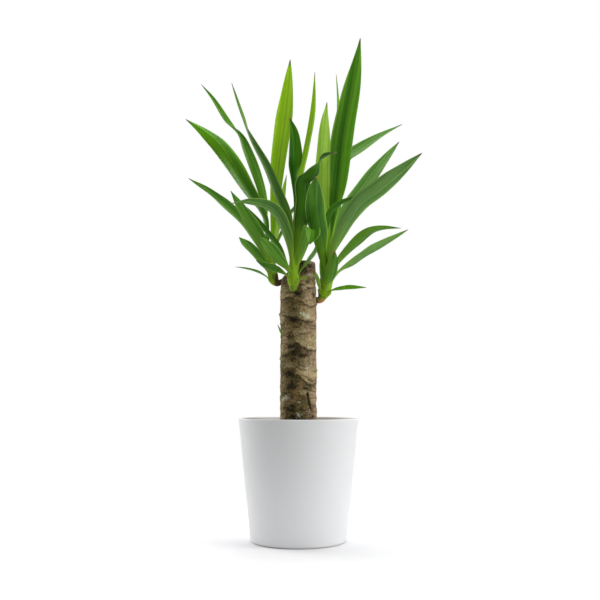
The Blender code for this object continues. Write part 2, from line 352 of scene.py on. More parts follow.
@dataclass(frozen=True)
class Bark:
    """The cane's scarred bark: tan and olive plates, hollows darkened with painted shade, pale lips and spots
    of lichen, with painted light on its right side and painted shade in its crack.
    """

    tan: Colour = (0.265, 0.180, 0.064)
    olive: Colour = (0.070, 0.052, 0.013)
    # pink bark, laid on most as painted light on the cane's lit right side
    pink: Colour = (0.57, 0.385, 0.265)
    dark: Colour = (0.012, 0.009, 0.004)
    pale: Colour = (0.66, 0.53, 0.27)
    rust: Colour = (0.20, 0.085, 0.025)
    algae: Colour = (0.135, 0.150, 0.025)
    lichen: Colour = (0.72, 0.74, 0.52)
    # painted shade: near black inside the crack
    crack: Colour = (0.004, 0.003, 0.002)

    def material(self) -> bpy.types.Material:
        """Makes the bark. It reads the numbers painted on the cane's points.

        Returns:
            The material.
        """
        tree = Tree("cane_bark")
        broad = tree.grain(34.0, 4.0, (1, 1, 1.25), warp=0.6)
        tint = tree.grain(55.0, 4.0, (1, 1, 1.5), rough=0.6, warp=0.4)
        blots = tree.grain(105.0, 4.0, (1, 1, 1.2), rough=0.6, warp=0.5)
        spots = tree.grain(210.0, 4.0, rough=0.65)
        flecks = tree.grain(430.0, 4.0, rough=0.68)
        fine = tree.grain(900.0, 3.0, rough=0.7)
        fibres = tree.grain(95.0, 4.0, (3.2, 3.2, 0.8), warp=0.4)
        rings = tree.grain(60.0, 4.0, (0.7, 0.7, 3.4), rough=0.62, warp=0.8)
        plate, lip, hollow = tree.painted("plate", "lip", "hollow")
        shade, moss, rim, crack = tree.painted("shade", "moss", "rim", "crack")
        # rim paints light: on the right side, towards the key lamp, and on the far left edge there are fewer
        # dark patches, more pink and pale spots and less rust.
        patches = shade * 2.1 + (spots - 0.5) * 3.4 + (blots - 0.5) * 3.4 - 0.52 - rim * 0.40
        spotted = (moss * 1.6 + (flecks - 0.5) * 5.0 - 0.60).clamped()
        base = tree.layers(
            self.olive,
            ((tint * 0.7 + blots * 0.5).rise(0.52, 0.72), self.tan),
            # Painted light: pink on the lit side.
            ((rim * 0.85 + broad * 1.2 - 0.70).clamped() * 0.9, self.pink),
            ((plate * (fibres * 1.2 + blots * 0.9 - 0.2)).clamped() * 0.85, self.pale),
            (tint.rise(0.50, 0.40) * blots.rise(0.45, 0.58) * 0.6, self.algae),
            (blots.rise(0.55, 0.64) * (1.0 - rim) * 0.55, self.rust),
            (spots.rise(0.53, 0.62) * (0.28 + rim * 0.5), self.pale),
            (rings.rise(0.56, 0.62) * 0.45, self.dark),
            (patches.clamped() * 0.90, self.dark),
            (flecks.rise(0.45, 0.37) * 0.6, self.dark),
            # Painted shade in the hollows under the lips and in the wrinkles.
            ((hollow * (spots * 2.4 - 0.2)).clamped() * 0.95, self.dark),
            ((lip * (spots * 3.0 - 0.7)).clamped() * 0.85, self.pale),
            (spotted * 0.9, self.lichen),
            # The crack is painted near black as shade.
            (crack.clamped(), self.crack),
        )
        height = fine * 0.12 + flecks * 0.35 + fibres * 0.25 + spots * 0.5 + blots * 0.8 - rings * 0.4
        normal = tree.bump(height, 1.0, 0.0030)
        rough = 0.92 - plate * 0.12 - fine * 0.08
        sockets = {"Base Color": base, "Roughness": rough, "Normal": normal, "Specular IOR Level": 0.15}
        return tree.close(tree.surface(sockets))


@dataclass(frozen=True)
class SawnWood:
    """The grey-brown sawn top, stippled with the cut ends of fibres."""

    weathered: Colour = (0.085, 0.066, 0.050)
    fresh: Colour = (0.30, 0.235, 0.170)
    crack: Colour = (0.022, 0.015, 0.011)

    def material(self) -> bpy.types.Material:
        """Makes the sawn wood.

        Returns:
            The material.
        """
        tree = Tree("sawn_wood")
        ends = tree.grain(680.0, 2.0)
        strokes = tree.grain(70.0, 3.0, (1, 7, 1), warp=0.3)
        blotches = tree.grain(60.0, 3.0)
        base = tree.layers(
            self.weathered,
            ((strokes * 0.6 + blotches * 0.5).rise(0.35, 0.75), self.fresh),
            (ends.rise(0.58, 0.70) * 0.8, self.crack),
        )
        normal = tree.bump(strokes * 0.5 - ends * 0.5, 0.8, 0.0012)
        shine = 0.93 - ends * 0.1
        return tree.close(tree.surface({"Base Color": base, "Roughness": shine, "Normal": normal}))


@dataclass(frozen=True)
class ShootSkin:
    """The shoots' smooth young skin: yellow-green, brown where it leaves the cane."""

    green: Colour = (0.13, 0.25, 0.006)
    pale: Colour = (0.27, 0.40, 0.025)
    brown: Colour = (0.085, 0.050, 0.024)
    orange: Colour = (0.52, 0.24, 0.075)

    def material(self) -> bpy.types.Material:
        """Makes the skin. It reads the numbers painted on the shoot's points.

        Returns:
            The material.
        """
        tree = Tree("shoot_skin")
        lines = tree.grain(170.0, 3.0, (1.6, 1.6, 0.25))
        blotches = tree.grain(90.0, 3.0)
        fine = tree.grain(600.0, 3.0)
        stub, under = tree.painted("stub", "under")
        base = tree.layers(
            self.green,
            (lines.rise(0.35, 0.70), self.pale),
            ((under * 1.3 + blotches * 0.5 - 0.35).clamped(), self.orange),
            ((stub * 1.5 + blotches * 0.6 - 0.45).clamped(), self.brown),
        )
        normal = tree.bump(lines * 0.6 + fine * stub, 0.5, 0.0008)
        rough = 0.42 + stub * 0.4 + lines * 0.08
        sockets = {"Base Color": base, "Roughness": rough, "Normal": normal, "Specular IOR Level": 0.2}
        return tree.close(tree.surface(sockets))


@dataclass(frozen=True)
class Greens:
    """The greens of one kind of leaf.

    Attributes:
        face: The colour of its upper face.
        back: The colour of its underside.
        vein: The paler colour of its lengthwise lines.
        glow: The colour of the light that comes through it.
        thin: How much light comes through, 0 to 1.
    """

    face: Colour
    back: Colour
    vein: Colour
    glow: Colour
    thin: float


class Tone(Enum):
    """The kinds of leaf, from the oldest green to the youngest. They are also lit and shaded copies: DARK and
    DEEP carry painted shade, BLUE and SILVER a painted sheen, GLOW and PALE painted light coming through from
    behind.
    """

    # Painted shade: old dark greens, darkened further for leaves that stand in shade.
    DARK = Greens((0.026, 0.140, 0.001), (0.055, 0.180, 0.012),
                  (0.080, 0.260, 0.008), (0.14, 0.50, 0.01), 0.12)
    DEEP = Greens((0.042, 0.205, 0.002), (0.085, 0.250, 0.030),
                  (0.115, 0.350, 0.015), (0.20, 0.62, 0.01), 0.18)
    MIDDLE = Greens((0.080, 0.275, 0.004), (0.135, 0.330, 0.045),
                    (0.205, 0.455, 0.035), (0.33, 0.72, 0.03), 0.26)
    # Painted sheen: blue-green greens, lightened towards grey.
    BLUE = Greens((0.090, 0.255, 0.026), (0.150, 0.320, 0.075),
                  (0.205, 0.410, 0.085), (0.28, 0.66, 0.07), 0.20)
    SILVER = Greens((0.165, 0.370, 0.070), (0.210, 0.400, 0.120),
                    (0.270, 0.490, 0.140), (0.38, 0.72, 0.12), 0.22)
    FRESH = Greens((0.090, 0.340, 0.001), (0.150, 0.400, 0.015),
                   (0.210, 0.510, 0.008), (0.42, 0.80, 0.01), 0.30)
    COOL = Greens((0.108, 0.365, 0.012), (0.160, 0.410, 0.030),
                  (0.245, 0.530, 0.045), (0.42, 0.80, 0.04), 0.30)
    # Painted light: pale greens of young and backlit leaves.
    GLOW = Greens((0.180, 0.390, 0.012), (0.240, 0.460, 0.030),
                  (0.350, 0.570, 0.065), (0.70, 0.93, 0.08), 0.54)
    PALE = Greens((0.230, 0.410, 0.045), (0.290, 0.470, 0.085),
                  (0.460, 0.620, 0.190), (0.70, 0.90, 0.24), 0.46)


@dataclass(frozen=True)
class LeafSkin:
    """A leaf's skin, by its kind: lengthwise lines, a paler middle and margin, a dry tip, and painted shade
    where it is dimmed.
    """

    tone: Tone
    base: Colour = (0.33, 0.56, 0.018)
    margin: Colour = (0.48, 0.73, 0.15)
    dry: Colour = (0.24, 0.135, 0.060)
    dead: Colour = (0.33, 0.27, 0.20)
    # the colour that painted shade darkens the leaf by
    shade_tint: Colour = (0.42, 0.55, 0.20)
    roughness: float = 0.44

    def material(self) -> bpy.types.Material:
        """Makes the skin. "blade" holds the place across, along, and across in millimetres.

        Returns:
            The material.
        """
        greens = self.tone.value
        tree = Tree(f"leaf_{self.tone.name.lower()}")
        blade = tree.node("ShaderNodeAttribute", attribute_name="blade").outputs["Vector"]
        across, along, ribs = tree.parts(blade)
        aside = abs(across)
        upper, dried, dim = tree.painted("upper", "dried", "dim")
        bands = tree.grain(0.26, 2.0, (0, 1.5, 1), blade)
        lines = tree.grain(1.05, 3.0, (0, 1.3, 1), blade, rough=0.6)
        clouds = tree.grain(26.0, 3.0)
        whole = along.rise(0.98, 0.70)
        streaks = (bands * 0.95 + lines * 0.40).rise(0.52, 0.84)
        middle = aside.rise(0.15, 0.02) * along.rise(0.97, 0.6)
        lively = along.rise(0.44, 0.05) * (0.75 + lines * 0.5) * (1.0 - dim * 0.7)
        edge = aside.rise(0.87, 0.97)
        tip = ((along + (lines - 0.5) * 0.03).rise(0.955, 0.995) + dried).clamped()
        base = tree.layers(
            greens.back,
            (upper, greens.face),
            (streaks * 0.85, greens.vein),
            (bands.rise(0.50, 0.34) * 0.55, greens.face, "MULTIPLY"),
            (middle * 0.55, greens.vein),
            (clouds.rise(0.45, 0.75) * 0.25, greens.face, "MULTIPLY"),
            # Painted shade where dim is painted: the lower part and one half of the fold.
            (dim, self.shade_tint, "MULTIPLY"),
            (lively.clamped(), self.base),
            (edge * 0.6, self.margin),
            (tip, self.dry),
            ((along + lines * 0.01).rise(0.988, 1.0), self.dead),
        )
        ridges = ribs.maths("SINE", ribs * 2.6) * 0.5 + 0.5
        height = (ridges * 0.35 + lines * 0.35 - middle * 0.4) * whole
        normal = tree.bump(height, 0.30, 0.0004)
        rough = self.roughness + lines * 0.14 + tip * 0.3 - middle * 0.05
        sockets = {"Base Color": base, "Roughness": rough, "Normal": normal, "IOR": 1.30}
        skin = tree.surface({**sockets, "Specular IOR Level": 0.4})
        glow = tree.node("ShaderNodeBsdfTranslucent", {"Color": (*greens.glow, 1.0)}).outputs[0]
        through = greens.thin * (1.0 - tip * 0.8) * (1.0 - middle * 0.35) * (1.0 - dim * 0.7)
        through = through * (0.7 + lines * 0.3 + bands * 0.3)
        return tree.close(skin, glow, factor=through)


# ---------------------------------------------------------------- modelling by hand


class Bench:
    """The bench that pieces are modelled on: selecting, editing and finishing them."""

    @staticmethod
    def choose(*pieces: bpy.types.Object) -> None:
        """Selects pieces and nothing else, the last of them as the active one.

        Args:
            pieces: The pieces, if any.
        """
        bpy.ops.object.select_all(action="DESELECT")
        for piece in pieces:
            piece.select_set(True)
        if pieces:
            bpy.context.view_layer.objects.active = pieces[-1]

    @staticmethod
    def add(name: str, primitive: Callable[..., Any], **settings: Any) -> bpy.types.Object:
        """Adds a primitive whose origin is the frame's, and names it and its mesh.

        Args:
            name: The piece's name.
            primitive: The operator that adds it.
            settings: That operator's settings.

        Returns:
            The piece.
        """
        Bench.choose()
        primitive(**settings)
        bpy.ops.object.transform_apply(location=True)
        obj = bpy.context.object
        obj.name = obj.data.name = name
        return obj

    @staticmethod
    def tube(name: str, sides: int, cuts: Sequence[int]) -> bpy.types.Object:
        """Adds an upright open tube of radius 1 and height 1.

        Args:
            name: The piece's name.
            sides: How many sides it has.
            cuts: How many times its rows are cut, in each round of cutting.

        Returns:
            The piece.
        """
        tube = Bench.add(
            name, bpy.ops.mesh.primitive_cylinder_add,
            vertices=sides, radius=1, depth=1, end_fill_type="NOTHING", location=(0, 0, 0.5),
        )
        with Bench.editing(tube, "EDGE"):
            for number in cuts:
                Bench.pick("edges", Bench.upright)
                bpy.ops.mesh.subdivide(number_cuts=number)
        return tube

    @staticmethod
    @contextmanager
    def editing(obj: bpy.types.Object, mode: str) -> Iterator[None]:
        """Opens a piece in edit mode with nothing selected.

        Args:
            obj: The piece.
            mode: What is selected in it: EDGE or FACE.
        """
        Bench.choose(obj)
        bpy.ops.object.mode_set(mode="EDIT")
        bpy.ops.mesh.select_mode(type=mode)
        bpy.ops.mesh.select_all(action="DESELECT")
        yield
        bpy.ops.object.mode_set(mode="OBJECT")

    @staticmethod
    def pick(kind: str, test: Callable[[Any], bool]) -> None:
        """Selects what passes a test, in edit mode.

        Args:
            kind: "edges" or "faces".
            test: Says of each whether it is selected.
        """
        mesh = bpy.context.object.data
        bpy.ops.mesh.select_all(action="DESELECT")
        shape = bmesh.from_edit_mesh(mesh)
        for each in getattr(shape, kind):
            if test(each):
                each.select_set(True)
        bmesh.update_edit_mesh(mesh)

    @staticmethod
    def upright(edge: bmesh.types.BMEdge) -> bool:
        """Whether an edge runs straight up and down."""
        a, b = (corner.co for corner in edge.verts)
        return abs(a.z - b.z) > TOUCHING and (a - b).xy.length < TOUCHING

    @staticmethod
    def open_at(height: float) -> Callable[[bmesh.types.BMEdge], bool]:
        """A test for open edges that lie at a height."""
        return lambda edge: edge.is_boundary and all(abs(v.co.z - height) < TOUCHING for v in edge.verts)

    @staticmethod
    def widen(scale: float, height: float) -> None:
        """Scales what is selected about the axis, at a height."""
        bpy.ops.transform.resize(value=(scale, scale, 1), center_override=(0, 0, height))

    @staticmethod
    def next_ring(scale: float, height: float, rise: float = 0.0) -> None:
        """Extrudes the selected ring of edges upwards to a height and scales it."""
        bpy.ops.mesh.extrude_edges_move(TRANSFORM_OT_translate={"value": (0, 0, rise)})
        Bench.widen(scale, height)

    @staticmethod
    def turn_outwards() -> None:
        """Turns every face outwards, in edit mode."""
        bpy.ops.mesh.select_all(action="SELECT")
        bpy.ops.mesh.normals_make_consistent(inside=False)

    @staticmethod
    def apply(obj: bpy.types.Object, kind: str, **settings: Any) -> None:
        """Adds a modifier and applies it.

        Args:
            obj: The piece.
            kind: The modifier's type.
            settings: Its settings.
        """
        modifier = obj.modifiers.new(kind.lower(), kind)
        for name, setting in settings.items():
            setattr(modifier, name, setting)
        Bench.choose(obj)
        bpy.ops.object.modifier_apply(modifier=modifier.name)

    @staticmethod
    def points(obj: bpy.types.Object) -> np.ndarray:
        """The piece's points as rows of three numbers.

        Returns:
            The points.
        """
        found = np.empty(len(obj.data.vertices) * 3)
        obj.data.vertices.foreach_get("co", found)
        return found.reshape(-1, 3)

    @staticmethod
    def move(obj: bpy.types.Object, points: np.ndarray) -> None:
        """Puts the piece's points in new places."""
        obj.data.vertices.foreach_set("co", np.ascontiguousarray(points, dtype=np.float64).ravel())
        obj.data.update()

    @staticmethod
    def paint(obj: bpy.types.Object, **layers: np.ndarray) -> None:
        """Writes numbers or vectors on the piece's points.

        Args:
            obj: The piece.
            layers: One row for each point, under the names that its material reads.
        """
        for name, values in layers.items():
            kind, slot = ("FLOAT", "value") if values.ndim == 1 else ("FLOAT_VECTOR", "vector")
            layer = obj.data.attributes.new(name, kind, "POINT")
            layer.data.foreach_set(slot, np.ascontiguousarray(values, dtype=np.float32).ravel())

    @staticmethod
    def smooth(obj: bpy.types.Object, angle: float) -> None:
        """Shades the piece smooth, but for edges sharper than an angle in degrees."""
        Bench.choose(obj)
        bpy.ops.object.shade_smooth_by_angle(angle=radians(angle))

    @staticmethod
    def hand_in(obj: bpy.types.Object, node: str, slot: str, *finishes: bpy.types.Material) -> None:
        """Gives a finished piece its materials and its place in the frame.

        Args:
            obj: The piece.
            node: The CAD node that it stands for.
            slot: The record's material slot; not used.
            finishes: Its materials, in the order of its faces' numbers.
        """
        for finish in finishes:
            obj.data.materials.append(finish)
        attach(obj, BODY)
        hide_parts(node)
        LOG.info("%s: %d points, %d faces", obj.name, len(obj.data.vertices), len(obj.data.polygons))


def soft(spots: Sequence[Vector], scale: float, shift: Point = (0, 0, 0)) -> np.ndarray:
    """Smooth noise at each of some spots, which are scaled and then shifted."""
    return np.array([noise.noise(spot * scale + Vector(shift)) for spot in spots])


def rugged(
    spots: Sequence[Vector], scale: float, form: tuple[float, float, int], shift: Point = (0, 0, 0)
) -> np.ndarray:
    """Noise with finer layers at each of some spots.

    Args:
        spots: The spots.
        scale: How dense the noise is.
        form: How fast the finer layers fade, how much finer each is, and how many there are.
        shift: By how much the scaled spots are shifted.

    Returns:
        The noise.
    """
    return np.array([noise.fractal(spot * scale + Vector(shift), *form) for spot in spots])


def ease(share: float) -> float:
    """A smooth step from 0 to 1."""
    share = min(max(share, 0.0), 1.0)
    return share * share * (3 - 2 * share)


class Curve:
    """Smooth lines through a few points."""

    steps = 40  # how finely a line is worked out between two of its points

    @classmethod
    def smooth(cls, points: Sequence[Any], count: int) -> list[Vector]:
        """A smooth line through points.

        Args:
            points: The points that it passes.
            count: How many evenly spaced points it is given back as.

        Returns:
            The line's points.
        """
        knots = [Vector(p) for p in points]
        first, last = knots[0] * 2 - knots[1], knots[-1] * 2 - knots[-2]
        ends = [first, *knots, last]
        fine = []
        for before, start, end, after in zip(ends, ends[1:], ends[2:], ends[3:]):
            span = (end - start).length
            leave = (end - before) * (span / (span + (start - before).length))
            arrive = (after - start) * (span / ((after - end).length + span))
            fine += [cls.between(start, leave, end, arrive, i / cls.steps) for i in range(cls.steps)]
        fine.append(knots[-1])
        return cls.evenly(fine, count)

    @staticmethod
    def between(start: Vector, leave: Vector, end: Vector, arrive: Vector, t: float) -> Vector:
        """A place on the curve that leaves one point and arrives at another.

        Args:
            start: The point that it leaves.
            leave: In which direction, and how straight.
            end: The point that it arrives at.
            arrive: In which direction, and how straight.
            t: How far along it the place is, 0 to 1.

        Returns:
            The place.
        """
        return (
            start * (2 * t**3 - 3 * t**2 + 1)
            + leave * (t**3 - 2 * t**2 + t)
            + end * (3 * t**2 - 2 * t**3)
            + arrive * (t**3 - t**2)
        )

    @staticmethod
    def lengths(line: list[Vector]) -> list[float]:
        """How far along the line each of its points lies."""
        return [0.0, *accumulate((b - a).length for a, b in zip(line, line[1:]))]

    @classmethod
    def evenly(cls, line: list[Vector], count: int) -> list[Vector]:
        """The line read again at evenly spaced lengths.

        Args:
            line: The line's points.
            count: How many points it is read at.

        Returns:
            Those points.
        """
        lengths = cls.lengths(line)
        found = []
        step = 0
        for i in range(count):
            wanted = lengths[-1] * i / (count - 1)
            while step < len(line) - 2 and lengths[step + 1] < wanted:
                step += 1
            share = (wanted - lengths[step]) / (lengths[step + 1] - lengths[step])
            found.append(line[step].lerp(line[step + 1], min(share, 1.0)))
        return found

    @staticmethod
    def directions(line: list[Vector]) -> list[Vector]:
        """The line's direction at each of its points."""
        found = [(b - a).normalized() for a, b in zip(line, line[1:])]
        return [*found, found[-1]]


# ---------------------------------------------------------------- pot and soil


@dataclass
class Pot:
    """The round pot that widens upwards, thin at its rounded lip."""

    height: float = 0.190
    rim_radius: float = 0.095
    foot_radius: float = 0.075
    wall: float = 0.0045
    floor: float = 0.008
    lip_round: float = 0.0014
    foot_round: float = 0.003
    sides: int = 160

    def radius(self, height: float) -> float:
        """The outer radius at a height."""
        return self.foot_radius + (self.rim_radius - self.foot_radius) * height / self.height

    def build(self) -> bpy.types.Object:
        """Models the pot from a cylinder: tapered, hollowed and rounded.

        Returns:
            The pot.
        """
        pot = Bench.add(
            "pot_shell", bpy.ops.mesh.primitive_cylinder_add,
            vertices=self.sides, radius=self.foot_radius, depth=self.height, location=(0, 0, self.height / 2),
        )
        with Bench.editing(pot, "FACE"):
            Bench.pick("faces", lambda face: face.normal.z > 0.9)
            Bench.widen(self.rim_radius / self.foot_radius, self.height)
            bpy.ops.mesh.inset(thickness=self.wall)
            bpy.ops.mesh.extrude_region_move(
                TRANSFORM_OT_translate={"value": (0, 0, self.floor - self.height)}
            )
            Bench.widen((self.radius(self.floor) - self.wall) / (self.rim_radius - self.wall), self.floor)
            bpy.ops.mesh.inset(thickness=self.foot_radius / 3)
        with Bench.editing(pot, "EDGE"):
            for height, offset, segments in ((self.height, self.lip_round, 5), (0.0, self.foot_round, 4)):
                Bench.pick("edges", self._runs_round(height))
                bpy.ops.mesh.bevel(offset=offset, segments=segments, affect="EDGES")
        Bench.smooth(pot, 50)
        lean = (self.rim_radius - self.foot_radius) / self.height
        finish = PotGlaze().material(self.foot_radius - self.wall / 2, lean, self.height - self.lip_round)
        Bench.hand_in(pot, "pot", "pot", finish)
        return pot

    @staticmethod
    def _runs_round(height: float) -> Callable[[bmesh.types.BMEdge], bool]:
        """Makes a test for the edges that run round the pot.

        Args:
            height: The height that they lie at.

        Returns:
            The test.
        """

        def test(edge: bmesh.types.BMEdge) -> bool:
            """Whether both ends are at the height and as far from the axis as each other."""
            a, b = (corner.co for corner in edge.verts)
            level = max(abs(a.z - height), abs(b.z - height)) < TOUCHING * 10
            return level and abs(a.xy.length - b.xy.length) < TOUCHING * 100

        return test


@dataclass
class SoilBed:
    """The soil in the pot: an uneven surface scattered with crumbs."""

    pot: Pot
    level: float = 0.168
    crown: float = 0.003  # how much higher it is round the cane
    socket: float = 0.0275
    gap: float = 0.0003
    sides: int = 120
    rings: int = 26
    roughness: float = 0.0022
    crumbs: int = 420
    crumb_size: float = 0.0007
    crumb_spread: float = 0.0022
    crumb_margins: tuple[float, float] = (0.005, 0.004)  # from the socket and from the wall

    def height(self, radius: float, angle: float) -> float:
        """The surface's height at a place.

        Args:
            radius: How far it is from the pot's axis.
            angle: In which direction.

        Returns:
            The height.
        """
        outside = self.pot.radius(self.level) - self.pot.wall
        slope = (outside - radius) / (outside - self.socket)
        spot = Vector((radius * cos(angle), radius * sin(angle), 0.3))
        lumps = noise.fractal(spot * 90, 0.8, 2.1, 4)
        return self.level + self.crown * ease(slope) + self.roughness * lumps * ease(min(slope, 0.3) / 0.1)

    def build(self) -> bpy.types.Object:
        """Models the bed as one closed body with the cane's socket in it, then its crumbs.

        Returns:
            The soil.
        """
        wall = self.pot.wall + self.gap
        floor = self.pot.floor + self.gap
        foot = CANE_FOOT - self.gap
        outside = self.pot.radius(self.level) - wall
        ring = (outside - self.socket) / self.rings
        levels = [
            (self.socket, self.level + self.crown),
            *((self.socket + ring * i, self.level) for i in range(1, self.rings)),
            (outside, self.level),
            (self.pot.radius(floor) - wall, floor),
        ]
        soil = Bench.add(
            "soil_bed", bpy.ops.mesh.primitive_circle_add,
            vertices=self.sides, radius=self.socket, location=(0, 0, foot),
        )
        with Bench.editing(soil, "EDGE"):
            bpy.ops.mesh.select_all(action="SELECT")
            bpy.ops.mesh.edge_face_add()
            bpy.ops.mesh.select_all(action="SELECT")
            before = (self.socket, foot)
            for radius, height in levels:
                Bench.next_ring(radius / before[0], height, height - before[1])
                before = (radius, height)
            bpy.ops.mesh.edge_face_add()
            Bench.turn_outwards()
        points = Bench.points(soil)
        for point in points:
            if point[2] >= self.level - TOUCHING:
                radius = float(np.hypot(point[0], point[1]))
                point[2] = self.height(radius, float(np.arctan2(point[1], point[0])))
        Bench.move(soil, points)
        self._scatter(soil, outside)
        Bench.smooth(soil, 60)
        Bench.hand_in(soil, "soil", "soil", Soil().material())
        return soil

    def _scatter(self, soil: bpy.types.Object, outside: float) -> None:
        """Lays crumbs of soil and bark on the bed and joins them to it.

        Args:
            soil: The bed.
            outside: Its outer radius.
        """
        chance = random.Random(7)
        pattern = self._pattern()
        inner, outer = self.socket + self.crumb_margins[0], outside - self.crumb_margins[1]
        crumbs = []
        for number in range(self.crumbs):
            angle = chance.uniform(0, 2 * pi)
            radius = chance.uniform(inner**2, outer**2) ** 0.5
            size = self.crumb_size + self.crumb_spread * chance.random() ** 2.5
            shape = [size * chance.uniform(0.7, 1.5) for _ in range(3)]
            axis = (chance.random(), chance.random(), chance.random() + 0.1)
            turn = Quaternion(axis, chance.uniform(0, pi)).to_matrix().to_4x4()
            height = self.height(radius, angle) + shape[2] * 0.15  # a little over half of it shows
            place = Matrix.Translation((radius * cos(angle), radius * sin(angle), height))
            crumb = bpy.data.objects.new(f"crumb_{number:03d}", pattern.copy())
            crumb.data.transform(place @ Matrix.Diagonal((*shape, 1)) @ turn)
            bpy.context.scene.collection.objects.link(crumb)
            crumbs.append(crumb)
        Bench.choose(*crumbs, soil)
        bpy.ops.object.join()

    @staticmethod
    def _pattern() -> bpy.types.Mesh:
        """The bumpy ball that every crumb is made from.

        Returns:
            Its mesh.
        """
        stone = Bench.add("crumb", bpy.ops.mesh.primitive_ico_sphere_add, subdivisions=2, radius=1.0)
        bumpy = Bench.points(stone)
        bumpy *= [[1 + 0.35 * noise.noise(Vector(p) * 1.7)] for p in bumpy]
        Bench.move(stone, bumpy)
        pattern = stone.data.copy()
        bpy.data.objects.remove(stone)
        return pattern


# ---------------------------------------------------------------- cane


class Scar(Enum):
    """What is found on the bark."""

    PLATE = "a fan-shaped leaf scar with a raised lip under it"
    # A dark patch: mostly dark bark; under the spiral's plates and where a shoot leaves the cane it is
    # painted shade.
    SHADE = "a dark, damp or dirty patch"
    LICHEN = "a pale spot of lichen"
    KNOB = "a small pinkish swelling"


@dataclass(frozen=True)
class Mark:
    """One mark on the bark.

    Attributes:
        kind: What it is.
        angle: Its direction from the front, to the right, in degrees.
        height: The height of its middle, or of a plate's lip, in millimetres.
        wide: Half its width, in degrees.
        tall: Its height, in millimetres.
        depth: How strong it is, 0 to 1.
        tilt: How much its right side hangs, in millimetres.
    """

    kind: Scar
    angle: float
    height: float
    wide: float
    tall: float
    depth: float
    tilt: float = 0.0


